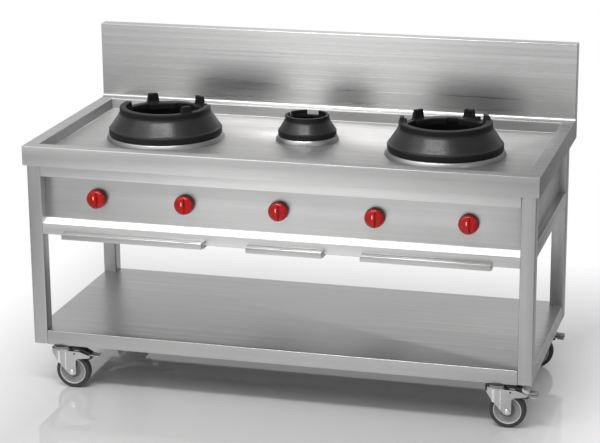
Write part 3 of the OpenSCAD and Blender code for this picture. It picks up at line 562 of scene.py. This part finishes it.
# Painted shade and light on one sheet: the recess walls take a darker steel, and the apron a lighter one with its own
# painted bands.
for face in top.data.polygons:
    apron = face.normal.y < -0.9 and face.center.y < at(0, 1, 0).y
    recess = abs(face.normal.x) > 0.9 and abs(face.center.x) < 0.86 and face.center.z > 0.84
    face.material_index = 2 if apron else int(recess)
print("worktop faces", len(top.data.polygons))

# %% Backsplash
splash = block("backsplash_shell", (-HALF, SPLASH_FRONT, TOP), (HALF, DEPTH, SPLASH_TOP))
strip(splash, lambda c, n: n.z < -0.5)
rounded(splash, 2.5, 4)
shell(splash)
cove = block("backsplash_cove", (-HALF, 791.2, TOP + 0.2), (HALF, 803.5, 892))
pick(cove, lambda c, d: c.y < at(0, 792, 0).y and c.z > 0.89 and abs(d.x) > 0.9, "EDGE")
bpy.ops.mesh.bevel(offset=0.0116, segments=6, profile=0.08)
clear()
smooth(cove)
splash = join("backsplash_panel", [splash, cove])
smooth(splash)
finish_piece(splash, STEEL_SPLASH, "frame", "sheet_steel", "backsplash")
print("backsplash", [round(v, 3) for v in splash.dimensions])

# %% [markdown]
# ## Frame
# Square legs with rounded corners, and rails and panels folded from strips of sheet.

# %% Legs
x0, y0 = LEGS["front_left"]
leg = block("leg", (x0, y0, LEG_FOOT), (x0 + LEG, y0 + LEG, LEG_TOP))
rounded(leg, 3.5, 4)
pick(leg, lambda c, n: n.z < -0.9)
bpy.ops.mesh.inset(thickness=0.003)
pull(0, 0, 2)
clear()
smooth(leg)
for corner, (x, y) in LEGS.items():
    twin = copy_to(leg, "leg_tube_" + corner, x - x0, y - y0, 0)
    finish_piece(twin, STEEL_LEG, "frame", "sheet_steel", "leg_" + corner)
discard(leg)
print("legs at", list(LEGS.values()))

# %% Rails and panels
rail = folded("rail_front_upper", BETWEEN_LEGS, [(RAIL_FRONT, 773), (RAIL_FRONT, 837), (60, 837)])
finish_piece(rail, STEEL_FRONT, "frame", "sheet_steel", "front_rail_upper")
panel = folded("panel_front", BETWEEN_LEGS, [(RAIL_FRONT, 602.2), (48, 616.4), (48, 835.5)], fold=1.2)
for x in KNOBS:
    drill(panel, (x, 48, KNOB_HEIGHT), 8.3, 12, "Y")
smooth(panel)
finish_piece(panel, STEEL_PANEL, "frame", "sheet_steel", "control_panel")
panel.data.materials.append(LEDGE_GLOW)
for face in panel.data.polygons:
    face.material_index = int(face.center.z < 0.6162 and face.normal.z > 0.5)
rail = folded("rail_front_lower", BETWEEN_LEGS, [(RAIL_FRONT, 601.5), (RAIL_FRONT, RAIL_FOOT), (30, RAIL_FOOT)])
finish_piece(rail, STEEL_FRONT, "frame", "sheet_steel", "front_rail_lower")
rail = folded("rail_rear_lower", BETWEEN_LEGS, [(RAIL_REAR, 601.5), (RAIL_REAR, RAIL_FOOT), (744, RAIL_FOOT)])
finish_piece(rail, STEEL_FRONT, "frame", "sheet_steel", "rear_rail_lower")
panel = folded("panel_back", BETWEEN_LEGS, [(RAIL_REAR, 601.5), (RAIL_REAR, 837), (746, 837)])
drill(panel, (800, RAIL_REAR, KNOB_HEIGHT), 14.95, 20, "Y")
smooth(panel)
finish_piece(panel, STEEL_PANEL, "frame", "sheet_steel", "back_panel")
for side, s in (("left", -1), ("right", 1)):
    panel = folded("panel_side_" + side, BETWEEN_SIDES, [(s * 862, 640), (s * 862, 837), (s * 843, 837)], "Y")
    finish_piece(panel, STEEL_SIDE, "frame", "sheet_steel", "side_panel_" + side)
    rail = folded("rail_side_" + side, BETWEEN_SIDES, [(s * 887, 594), (s * 887, 639), (s * 861, 639)], "Y")
    finish_piece(rail, STEEL_SIDE, "frame", "sheet_steel", "side_rail_" + side)
print("side rail", [round(v, 3) for v in rail.dimensions])

# %% Bottom shelf
shelf = block("shelf_tray", (-SHELF_HALF, 10, LEG_FOOT), (SHELF_HALF, 764, SHELF_TOP))
strip(shelf, lambda c, n: n.z < -0.5)
rounded(shelf, 3.0, 4)
shell(shelf)
for x, y in LEGS.values():
    front = y - 1 if y < DEPTH / 2 else y
    cut(shelf, block("notch", (x - 1, front, 150), (x + LEG + 1, front + LEG + 1, 215)))
smooth(shelf)
finish_piece(shelf, STEEL_SHELF, "frame", "sheet_steel", "bottom_shelf")
print("shelf", [round(v, 3) for v in shelf.dimensions])

# %% [markdown]
# ## Drip trays
# Each is a shallow pan whose front wall is folded over into a full-width grip.

# %% Trays
for name, (x0, x1) in TRAYS.items():
    grip = folded("grip", (x0, x1), [(8.7, 553.5), (8.7, 581), (-26, 581), (-26, 561)], fold=2.2)
    ends = [block("end", (x, -26.5, 561.5), (x + 2, 9, 581.5)) for x in (x0, x1 - 2)]
    for end in ends:
        rounded(end, 0.6, 2)
    pan = block("pan", (x0 + 8, 8, 553.5), (x1 - 8, 740, 563.5))
    strip(pan, lambda c, n: n.z > 0.5)
    rounded(pan, 2.0, 3)
    shell(pan, 1.5)
    tray = join("tray_" + name, [grip, pan] + ends)
    smooth(tray)
    finish_piece(tray, STEEL_TRAY, "tray_" + name, "sheet_steel", "drip_tray_" + name)
print("trays", [round(v, 3) for v in tray.dimensions])


# %% [markdown]
# ## Burner collars
# Low pressed rings line the burner holes, each a thin profile spun round its hole.

# %% Collars
def collar(side, foot):
    """A rounded ring that stands on the deck, with a spigot down through the hole."""
    spigot = HOLES[side] - 1
    ring = turned("collar_" + side, [
        (foot + 9, 840.1), (foot + 9, 842), (foot + 7, 847.5), (foot + 4.6, 854), (foot + 2.4, 857.2), (foot - 1, 858),
        (spigot + 0.8, 858), (spigot - 1.2, 857.2), (spigot - 2, 855.5), (spigot - 2, 825), (spigot, 825),
        (spigot, 856), (foot - 2, 856), (foot + 2, 853), (foot + 7, 840.1), (foot + 9, 840.1)], 96)
    smooth(ring, 40)
    return place(ring, *CENTRES[side], 0)


collars = join("pressed_collars", [collar("left", 202), collar("centre", 104), collar("right", 202)])
# The collars take a darker copy of the deck's steel: painted shade.
finish_piece(collars, STEEL_COLLAR_SHADE, "frame", "sheet_steel", "burner_collars")
print("collars", len(collars.data.polygons), "faces")


# %% [markdown]
# ## Iron wok rings
# The body is spun, the front wall is spun through part of a turn, and the lugs are tapered blocks.
# Joined and remeshed, their corners melt together as in a casting.

# %% Ring tools
def lug(bearing, radius, thick, low, high, width=36):
    """A tapered lug with a flared foot, turned to its bearing round the ring."""
    middle = (low + high) / 2000
    ob = cube((radius / 1000, 0, middle), (thick / 1000, width / 1000, (high - low) / 1000))
    pick(ob, lambda c, n: n.z > 0.9)
    bpy.ops.transform.resize(value=(0.94, 0.97, 1), center_override=(radius / 1000, 0, middle))
    pick(ob, lambda c, n: n.z < -0.9)
    bpy.ops.transform.resize(value=(1.0, 1.35, 1), center_override=(radius / 1000, 0, middle))
    clear()
    ob.rotation_euler = (0, 0, math.radians(bearing))
    return settle(ob)


def iron_ring(side, body, walls, lugs, voxel):
    """Joins a spun body, its part walls, inner pads and lugs into one casting."""
    name = "iron_ring_" + side
    parts = [turned(name + "_body", body, 96)]
    parts += [turned(name + "_wall", profile, max(8, int(sweep / 3)), sweep, start) for profile, start, sweep in walls]
    parts += [lug(*row) for row in lugs]
    ring = join(name, parts)
    modify(ring, "REMESH", mode="VOXEL", voxel_size=voxel / 1000)
    modify(ring, "SMOOTH", factor=0.5, iterations=2)
    focus(ring)
    bpy.ops.object.shade_smooth()
    place(ring, *CENTRES[side], 0)
    finish_piece(ring, IRON[side], "ring_" + side, "cast_iron", "wok_ring_" + side)
    print(ring.name, len(ring.data.polygons), "faces", [round(v, 3) for v in ring.dimensions])


# %% Large rings
LARGE_BODY = [
    (201.5, 858.6), (202, 862), (202, 878), (199.5, 881.5), (196, 884), (166, 930), (163.5, 936), (137.5, 936),
    (137.5, 922), (146, 914), (150, 905), (168.5, 881), (168.5, 856.2), (173.8, 856.2), (173.8, 858.6), (201.5, 858.6)]
LARGE_WALL = [(138.6, 930), (138.6, 955.5), (140, 957), (160.5, 957), (162.4, 955), (162.4, 930), (138.6, 930)]
PAD = [(130, 912), (130, 933), (132, 935), (139, 935), (139, 912), (130, 912)]
LUG_RADIUS, LUG_THICK, LUG_FOOT = 150.5, 15.5, 928
BACK_LUG, WALL_LUG, LOW_STEP, LOW_WIDTH = 970, 981, 949, 14


def back_lugs(*bearings):
    return [(bearing, LUG_RADIUS, LUG_THICK, LUG_FOOT, BACK_LUG) for bearing in bearings]


def low_step(bearing):
    return (bearing, LUG_RADIUS, LUG_THICK, LUG_FOOT, LOW_STEP, LOW_WIDTH)


iron_ring("left", LARGE_BODY, [(LARGE_WALL, 168, 209), (PAD, 92, 42), (PAD, 18, 42)],
          back_lugs(126, 53) + [(318, LUG_RADIUS, LUG_THICK, 930, WALL_LUG), low_step(38)], 2.2)
iron_ring("right", LARGE_BODY, [(LARGE_WALL, 176, 208), (PAD, 100, 50), (PAD, 36, 46)],
          back_lugs(141, 68, 190) + [(27, 147, LUG_THICK, LUG_FOOT, BACK_LUG), low_step(53)], 2.2)

# %% Small ring
SMALL_BODY = [
    (103.6, 858.6), (104, 861), (104, 876), (102, 878.5), (100, 880.5), (82, 910), (80, 914.4), (67, 914.4),
    (67, 905), (72, 898), (85.6, 878), (85.6, 856.2), (88.8, 856.2), (88.8, 858.6), (103.6, 858.6)]
SMALL_WALL = [(68, 910), (68, 930.4), (69.2, 931.4), (77.6, 931.4), (79, 930), (79, 910), (68, 910)]
iron_ring("centre", SMALL_BODY, [(SMALL_WALL, 105, 49), (SMALL_WALL, 166, 170), (SMALL_WALL, 344, 86)], [], 1.6)

# %% [markdown]
# ## Knobs
# A black skirt, a red bevelled cap with a grip across it, and a pale mark at the grip's end.

# %% Knob
GRIP_MIDDLE = (0, 0, 0.0356)
skirt = turned("skirt", [
    (16, 4.4), (32.6, 4.4), (33.5, 5.2), (34, 8), (34, 15.5), (33.2, 17.2), (31, 17.4), (16, 17.4), (16, 4.4)], 72)
rim = turned("rim", [
    (5.2, 12), (5.2, 17.5), (32.2, 17.5), (32.5, 18.5), (32.5, 25), (31.8, 26.4), (24.8, 31.6), (23.2, 32.2),
    (5.2, 31.6), (5.2, 30.5), (0.01, 30.5), (0.01, 31.6)], 72)
grip = cube(GRIP_MIDDLE, (0.013, 0.057, 0.0088))
pick(grip, lambda c, n: n.z > 0.9)
bpy.ops.transform.resize(value=(0.9, 0.95, 1), center_override=GRIP_MIDDLE)
clear()
rounded(grip, 1.6, 3)
mark = cube((-0.0024, 0.0088, 0.0401), (0.003, 0.0125, 0.0008))
rounded(mark, 0.2, 2)
cap = join("cap", [rim, grip])
for piece in (skirt, cap, mark):
    smooth(piece, 40)
    place(piece, 0, KNOB_FACE, KNOB_HEIGHT, OUTWARD)
for i, x in enumerate(KNOBS, 1):
    for piece, mat, tag in ((skirt, BLACK, "skirt"), (cap, RED, "cap"), (mark, MARK, "mark")):
        twin = copy_to(piece, "knob_%s_%d" % (tag, i), x, 0, 0)
        finish_piece(twin, mat, "knob_%d" % i, "knob_red", "knob_%d" % i)
discard(skirt, cap, mark)
print("knobs at", KNOBS)

# %% [markdown]
# ## Castors
# One braked castor is modelled about its swivel axis and copied to the four corners. The wheel,
# the pedal and the fork stay separate pieces, because each rides on a body of its own.

# %% Fork tools
AXLE = (0.038, 0, 0.0625)
FORK_HALF, FORK_TOP, NOSE = 22, 143.2, -20


def plan(inset, x_end):
    """The fork seen from above: a half round nose with straight sides running back to x_end."""
    r = FORK_HALF - inset
    bearings = [math.radians(a) for a in range(0, 181, 12)]
    return [(x_end, -r)] + [(NOSE - r * math.sin(a), -r * math.cos(a)) for a in bearings] + [(x_end, r)]


def upright(name, outline, low, high):
    """An outline of (x, y) about the origin, filled and given a height."""
    ob = plate(name, outline, high - low)
    ob.rotation_euler = (-math.pi / 2, 0, 0)
    ob.location = (0, 0, high / 1000)
    return settle(ob)


def on_axle(ob):
    """Lays a turned piece down on the wheel's axle."""
    ob.rotation_euler = OUTWARD
    ob.location = AXLE
    return settle(ob)


# %% Fork and race
race = turned("race", [
    (0.01, 153.2), (31, 153.2), (32, 152.4), (32, 150.4), (30.6, 149.6), (27, 149.4), (27, 148.2), (30.6, 148),
    (32.2, 147.2), (32.2, 144.8), (31, 143.8), (8, 143.8), (8, 132.5), (10, 132), (10, 125.2), (6, 124.9),
    (0.01, 124.8)], 64)
cover = turned("cover", [
    (0.01, 157.8), (32.4, 157.8), (33.4, 157), (33.4, 154.6), (32.4, 153.8), (0.01, 153.8)], 64)
crown = turned("crown", [
    (6.2, FORK_TOP), (31.8, FORK_TOP), (33, 142.2), (33, 139.4), (31.8, 138.2), (6.2, 138.2), (6.2, FORK_TOP)], 64)
SIDE = [
    (-46, 143), (-46, 137), (-29, 119), (-14, 95), (23.5, 54.5), (27, 50.8), (32, 48.8), (38, 48.2), (44, 49.2),
    (49, 52), (51.5, 57), (52, 63), (52, 99), (53.6, 105), (58, 109), (64, 111.2), (92, 115), (101, 117),
    (107, 120.4), (108, 123), (88, 131), (66, 138), (26, 138), (21, 143)]
walls = upright("walls", plan(0, 112) + plan(3, 112)[::-1], 40, FORK_TOP)
cut(walls, plate("side", SIDE, 60, -30), "INTERSECT")
roof = upright("roof", plan(0.5, 21), 137, 142.9)
beads = []
for x, wide, low in ((-9.5, 10, 92), (14.8, 5, 68)):
    for y in (-22.4, 22.4):
        bead = cube((x / 1000, y / 1000, (low + 141) / 2000), (wide / 1000, 0.0024, (141 - low) / 1000))
        rounded(bead, 1.1, 3)
        beads.append(bead)
for piece in (walls, roof):
    rounded(piece, 0.7, 2)
rivets = []
for y in (-FORK_HALF, FORK_HALF):
    clear()
    bpy.ops.mesh.primitive_uv_sphere_add(segments=20, ring_count=10, radius=0.0036, location=(0.048, y / 1000, 0.1295))
    bpy.context.object.scale = (1, 0.42, 1)
    rivets.append(settle(bpy.context.object))
axle = on_axle(turned("axle", [
    (0.01, -29), (4.5, -28.6), (7.4, -27), (8.6, -24.5), (8.8, -22.4), (6, -22.4), (6, 22.4), (8.8, 22.4),
    (8.6, 24.5), (7.4, 27), (4.5, 28.6), (0.01, 29)], 24))
fork = join("fork", [crown, walls, roof])
trim = join("trim", beads + [axle])
rivets = join("rivets", rivets)
hook = upright("hook", [(-36.4, -20), (-34.2, -20), (-34.2, -9), (-36.4, -9)], 130, 153)
rounded(hook, 0.8, 2)
for piece in (race, cover, fork, trim, rivets, hook):
    smooth(piece, 40)
print("fork", len(fork.data.polygons), "faces")

# %% Wheel
tyre = turned("tyre", [
    (48, -15.4), (52, -15.8), (56, -16), (59.4, -14.8), (61.6, -12), (62.4, -7), (62.5, 0), (62.4, 7), (61.6, 12),
    (59.4, 14.8), (56, 16), (52, 15.8), (48, 15.4), (48, -15.4)], 96)
rim_ring = turned("rim_ring", [
    (44.4, -14), (45.2, -16), (46.6, -16.6), (47.8, -16), (47.9, -14), (47.9, 14), (47.8, 16), (46.6, 16.6),
    (45.2, 16), (44.4, 14), (44.4, -14)], 96)
hub = turned("hub", [
    (26.2, -7.9), (33, -8.4), (39, -10), (42, -12.4), (44.3, -13), (44.3, 13), (42, 12.4), (39, 10), (33, 8.4),
    (26.2, 7.9), (26.2, -7.9)], 72)
disc = turned("disc", [
    (6.05, -18.6), (12, -18.6), (14, -17.4), (14.6, -13), (17, -10.5), (22, -8.6), (26, -8), (26, 8), (22, 8.6),
    (17, 10.5), (14.6, 13), (14, 17.4), (12, 18.6), (6.05, 18.6), (6.05, -18.6)], 72)
for piece in (tyre, rim_ring, hub, disc):
    smooth(piece, 40)
    on_axle(piece)
print("wheel", len(tyre.data.polygons) + len(hub.data.polygons), "faces")

# %% Pedal
lever = plate("lever", [
    (36, 141), (36, 151.5), (38, 152.5), (58, 152.5), (68, 150.5), (78, 146.5), (92, 139.5), (104, 133.5),
    (108, 130.5), (107, 126.5), (100, 126.5), (86, 132.5), (72, 140.5), (60, 142)], 32, -16)
shoe = plate("shoe", [(86, 133), (92, 109.5), (96, 108), (107, 110.5), (109, 114), (106, 128)], 30, -15)
for piece in (lever, shoe):
    rounded(piece, 1.2, 3)
lever = join("lever", [lever, shoe])
tip = plate("tip", [
    (100, 128.4), (108, 128.8), (122, 127), (132, 127), (136, 128.4), (137.6, 126.6), (136.4, 123.6), (122, 123.4),
    (108, 125), (100, 125.4)], 34, -17)
rounded(tip, 0.9, 2)
stem = plate("stem", [(43, 127), (43, 142.6), (62, 142.6), (64, 134), (62, 127)], 27, -13.5)
rounded(stem, 0.8, 2)
tip = join("tip", [tip, stem])
print("lever", [round(v, 3) for v in lever.dimensions])

# %% Pedal parts that show on the right castors only
# Painted shade and highlight: on the right castors the pedal tip is a darker grey, and a strip of brighter zinc runs
# along its lower edge.
deep_tip = plate("deep_tip", [
    (100, 126), (104, 130.5), (122, 130), (134, 129.5), (138, 127.5), (138.4, 118), (136, 115.4), (116, 117),
    (106, 121)], 34, -17)
rounded(deep_tip, 1.2, 3)
edge_strip = plate("edge_strip", [
    (117, 116.6), (117, 114.8), (136.4, 113.4), (138.6, 116.2), (138.6, 118.4), (136, 115.6)], 34.6, -17.3)
rounded(edge_strip, 0.4, 2)
tab = plate("tab", [
    (86, 145), (92, 142), (104, 136), (110.5, 131.5), (109, 127.6), (103, 125.6), (94, 128.5), (88, 135)], 35, -17.5)
rounded(tab, 0.5, 2)
for piece in (lever, tip, tab, deep_tip, edge_strip):
    smooth(piece, 40)
print("right pedal parts", [piece.name for piece in (deep_tip, edge_strip, tab)])

# %% Castors at the corners
ALL_ROUND = [
    (race, ZINC, "frame", "castor_zinc", "swivel_race_", "castor_king_bolts"),
    (cover, BLACK, "frame", "castor_zinc", "race_cover_", "castor_king_bolts"),
    (fork, ZINC, "fork_", "castor_zinc", "fork_pressed_", "castor_fork_"),
    (trim, ZINC_HIGHLIGHT, "fork_", "castor_zinc", "fork_trim_", "castor_fork_"),
    (rivets, DARK_METAL, "fork_", "castor_zinc", "fork_rivets_", "castor_fork_"),
    (tyre, TYRE, "wheel_", "castor_rubber", "tyre_tread_", "castor_tyre_"),
    (rim_ring, HUB_RIM, "wheel_", "castor_hub_grey", "hub_rim_", "castor_hub_"),
    (hub, HUB, "wheel_", "castor_hub_grey", "hub_dished_", "castor_hub_"),
    (disc, HUB_SHADE, "wheel_", "castor_hub_grey", "hub_centre_", "castor_hub_"),
    (lever, BLACK, "pedal_", "castor_zinc", "brake_lever_", "castor_pedal_"),
    (tip, ZINC, "pedal_", "castor_zinc", "brake_tip_", "castor_pedal_")]
RIGHT_ONLY = [
    (hook, BLACK, "fork_", "castor_zinc", "brake_hook_", "castor_fork_"),
    (deep_tip, HUB, "pedal_", "castor_zinc", "brake_shoe_", "castor_pedal_"),
    (edge_strip, ZINC_HIGHLIGHT, "pedal_", "castor_zinc", "brake_edge_", "castor_pedal_"),
    (tab, HUB_RIM, "pedal_", "castor_zinc", "brake_tab_", "castor_pedal_")]


def at_corner(name, corner):
    """Names that end in an underscore take the corner's name."""
    return name + corner if name.endswith("_") else name


for corner, (x, y) in CORNERS.items():
    for piece, mat, body, slot, name, stands_for in ALL_ROUND + (RIGHT_ONLY if "right" in corner else []):
        twin = copy_to(piece, name + corner, x - SHIFT.x, y - SHIFT.y, 0)
        finish_piece(twin, mat, at_corner(body, corner), slot, at_corner(stands_for, corner))
discard(*(row[0] for row in ALL_ROUND + RIGHT_ONLY))
print("castors", list(CORNERS))

# %% [markdown]
# ## Inner parts
# Burners, pipes, taps, straps and brackets keep their CAD shapes and get finished materials.

# %% Materials of the CAD nodes
INNER = {
    STEEL_INNER: ["burner_hangers", "tray_runners", "castor_brackets"],
    IRON_BURNER: ["burner_left", "burner_centre", "burner_right"],
    BRASS: ["gas_manifold", "gas_taps", "burner_feed_pipes"] + ["spindle_%d" % i for i in range(1, 6)]}
for mat, names in INNER.items():
    for name in names:
        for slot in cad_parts[name].material_slots:
            slot.material = mat
print("CAD nodes refinished", sum(len(names) for names in INNER.values()))

# %% [markdown]
# ## Studio
# A pale glossy floor that fades into white, and large soft lights.

# %% Floor
REAR_FADE, SIDE_FADE, FRONT_FADE = (0.3, 1.5), (0.78, 1.36), (-2.4, -1.2)
SEEN_GREY, MIRRORED_GREY, MIRRORED_EDGE = 0.6, 0.92, 0.3
clear()
bpy.ops.mesh.primitive_plane_add(size=14, location=(0, 0, 0))
floor = bpy.context.object
floor.name = "floor"
mat = bpy.data.materials.new("studio_floor")
mat.use_nodes = True
tree = mat.node_tree
shader = tree.nodes["Principled BSDF"]
shader.inputs["Roughness"].default_value = 0.05
shader.inputs["Specular IOR Level"].default_value = 0.8
spot = node(tree, "SeparateXYZ", [(0, tree.nodes.new("ShaderNodeTexCoord").outputs["Object"])])
seen = tree.nodes.new("ShaderNodeLightPath").outputs["Is Camera Ray"]
flank = calc(tree, "ABSOLUTE", spot.outputs[0])
rear_fade = ranged(tree, spot.outputs[1], *REAR_FADE, 0.0, 1.0)
fade = calc(tree, "MAXIMUM", rear_fade, ranged(tree, flank, *SIDE_FADE, 0.0, 1.0))
fade = calc(tree, "MAXIMUM", fade, ranged(tree, spot.outputs[1], *FRONT_FADE, 1.0, 0.0))
# Painted shade in reflections: rays other than the camera's see the floor grow greyer away from the middle, which
# darkens the steel's reflections towards the sides.
aside = calc(tree, "ABSOLUTE", calc(tree, "ADD", spot.outputs[0], 0.1))
mirrored = ranged(tree, aside, 0.5, 2.0, MIRRORED_GREY, MIRRORED_EDGE)
grey = node(tree, "Mix", [("Factor", seen), (2, mirrored), (3, SEEN_GREY)], data_type="FLOAT").outputs[0]
tree.links.new(node(tree, "CombineXYZ", [(0, grey), (1, grey), (2, grey)]).outputs[0], shader.inputs["Base Color"])
paper = node(tree, "Emission", [("Color", (1, 1, 1, 1)), ("Strength", 1.0)]).outputs[0]
mix = node(tree, "MixShader", [(0, calc(tree, "MULTIPLY", fade, seen)), (1, shader.outputs[0]), (2, paper)])
tree.links.new(mix.outputs[0], tree.nodes["Material Output"].inputs["Surface"])
floor.data.materials.append(mat)
print("floor", [round(v, 1) for v in floor.dimensions])

# %% Sky
world = bpy.data.worlds.new("studio")
bpy.context.scene.world = world
world.use_nodes = True
tree = world.node_tree
sky = tree.nodes["Background"]
sky.inputs["Color"].default_value = (1, 1, 1, 1)
heading = node(tree, "SeparateXYZ", [(0, tree.nodes.new("ShaderNodeTexCoord").outputs["Generated"])])
aside = calc(tree, "ABSOLUTE", calc(tree, "ADD", heading.outputs[0], 0.2))
behind = ranged(tree, heading.outputs[1], -0.3, 0.7, 1.0, 0.84)
strength = calc(tree, "MULTIPLY", ranged(tree, aside, 0.25, 0.95, 0.95, 0.4), behind)
ahead = calc(tree, "MULTIPLY", heading.outputs[1], heading.outputs[2])
strength = calc(tree, "MULTIPLY", strength, ranged(tree, ahead, -0.3, -0.04, 0.55, 1.0))
tree.links.new(strength, sky.inputs["Strength"])
paper = node(tree, "Background", [("Color", (1, 1, 1, 1)), ("Strength", 1.0)]).outputs[0]
seen = tree.nodes.new("ShaderNodeLightPath").outputs["Is Camera Ray"]
mix = node(tree, "MixShader", [(0, seen), (1, sky.outputs[0]), (2, paper)])
tree.links.new(mix.outputs[0], tree.nodes["World Output"].inputs["Surface"])
print("world", world.name)


# %% Lights
def lamp(name, place_at, size, energy, towards=(0, 0, 0.6)):
    """A soft rectangular light turned towards the range."""
    clear()
    bpy.ops.object.light_add(type="AREA", location=place_at)
    ob = bpy.context.object
    ob.name = name
    ob.data.shape = "RECTANGLE"
    ob.data.size, ob.data.size_y = size
    ob.data.energy = energy
    ob.rotation_euler = (Vector(towards) - Vector(place_at)).to_track_quat("-Z", "Y").to_euler()


lamp("key", (-2.4, -2.2, 3.4), (3.0, 2.2), 34)
lamp("glint", (-0.2, -1.95, 3.5), (2.2, 0.5), 74)
lamp("fill", (3.2, -2.6, 2.0), (2.0, 2.0), 10)
bpy.context.scene.view_settings.view_transform = "Standard"
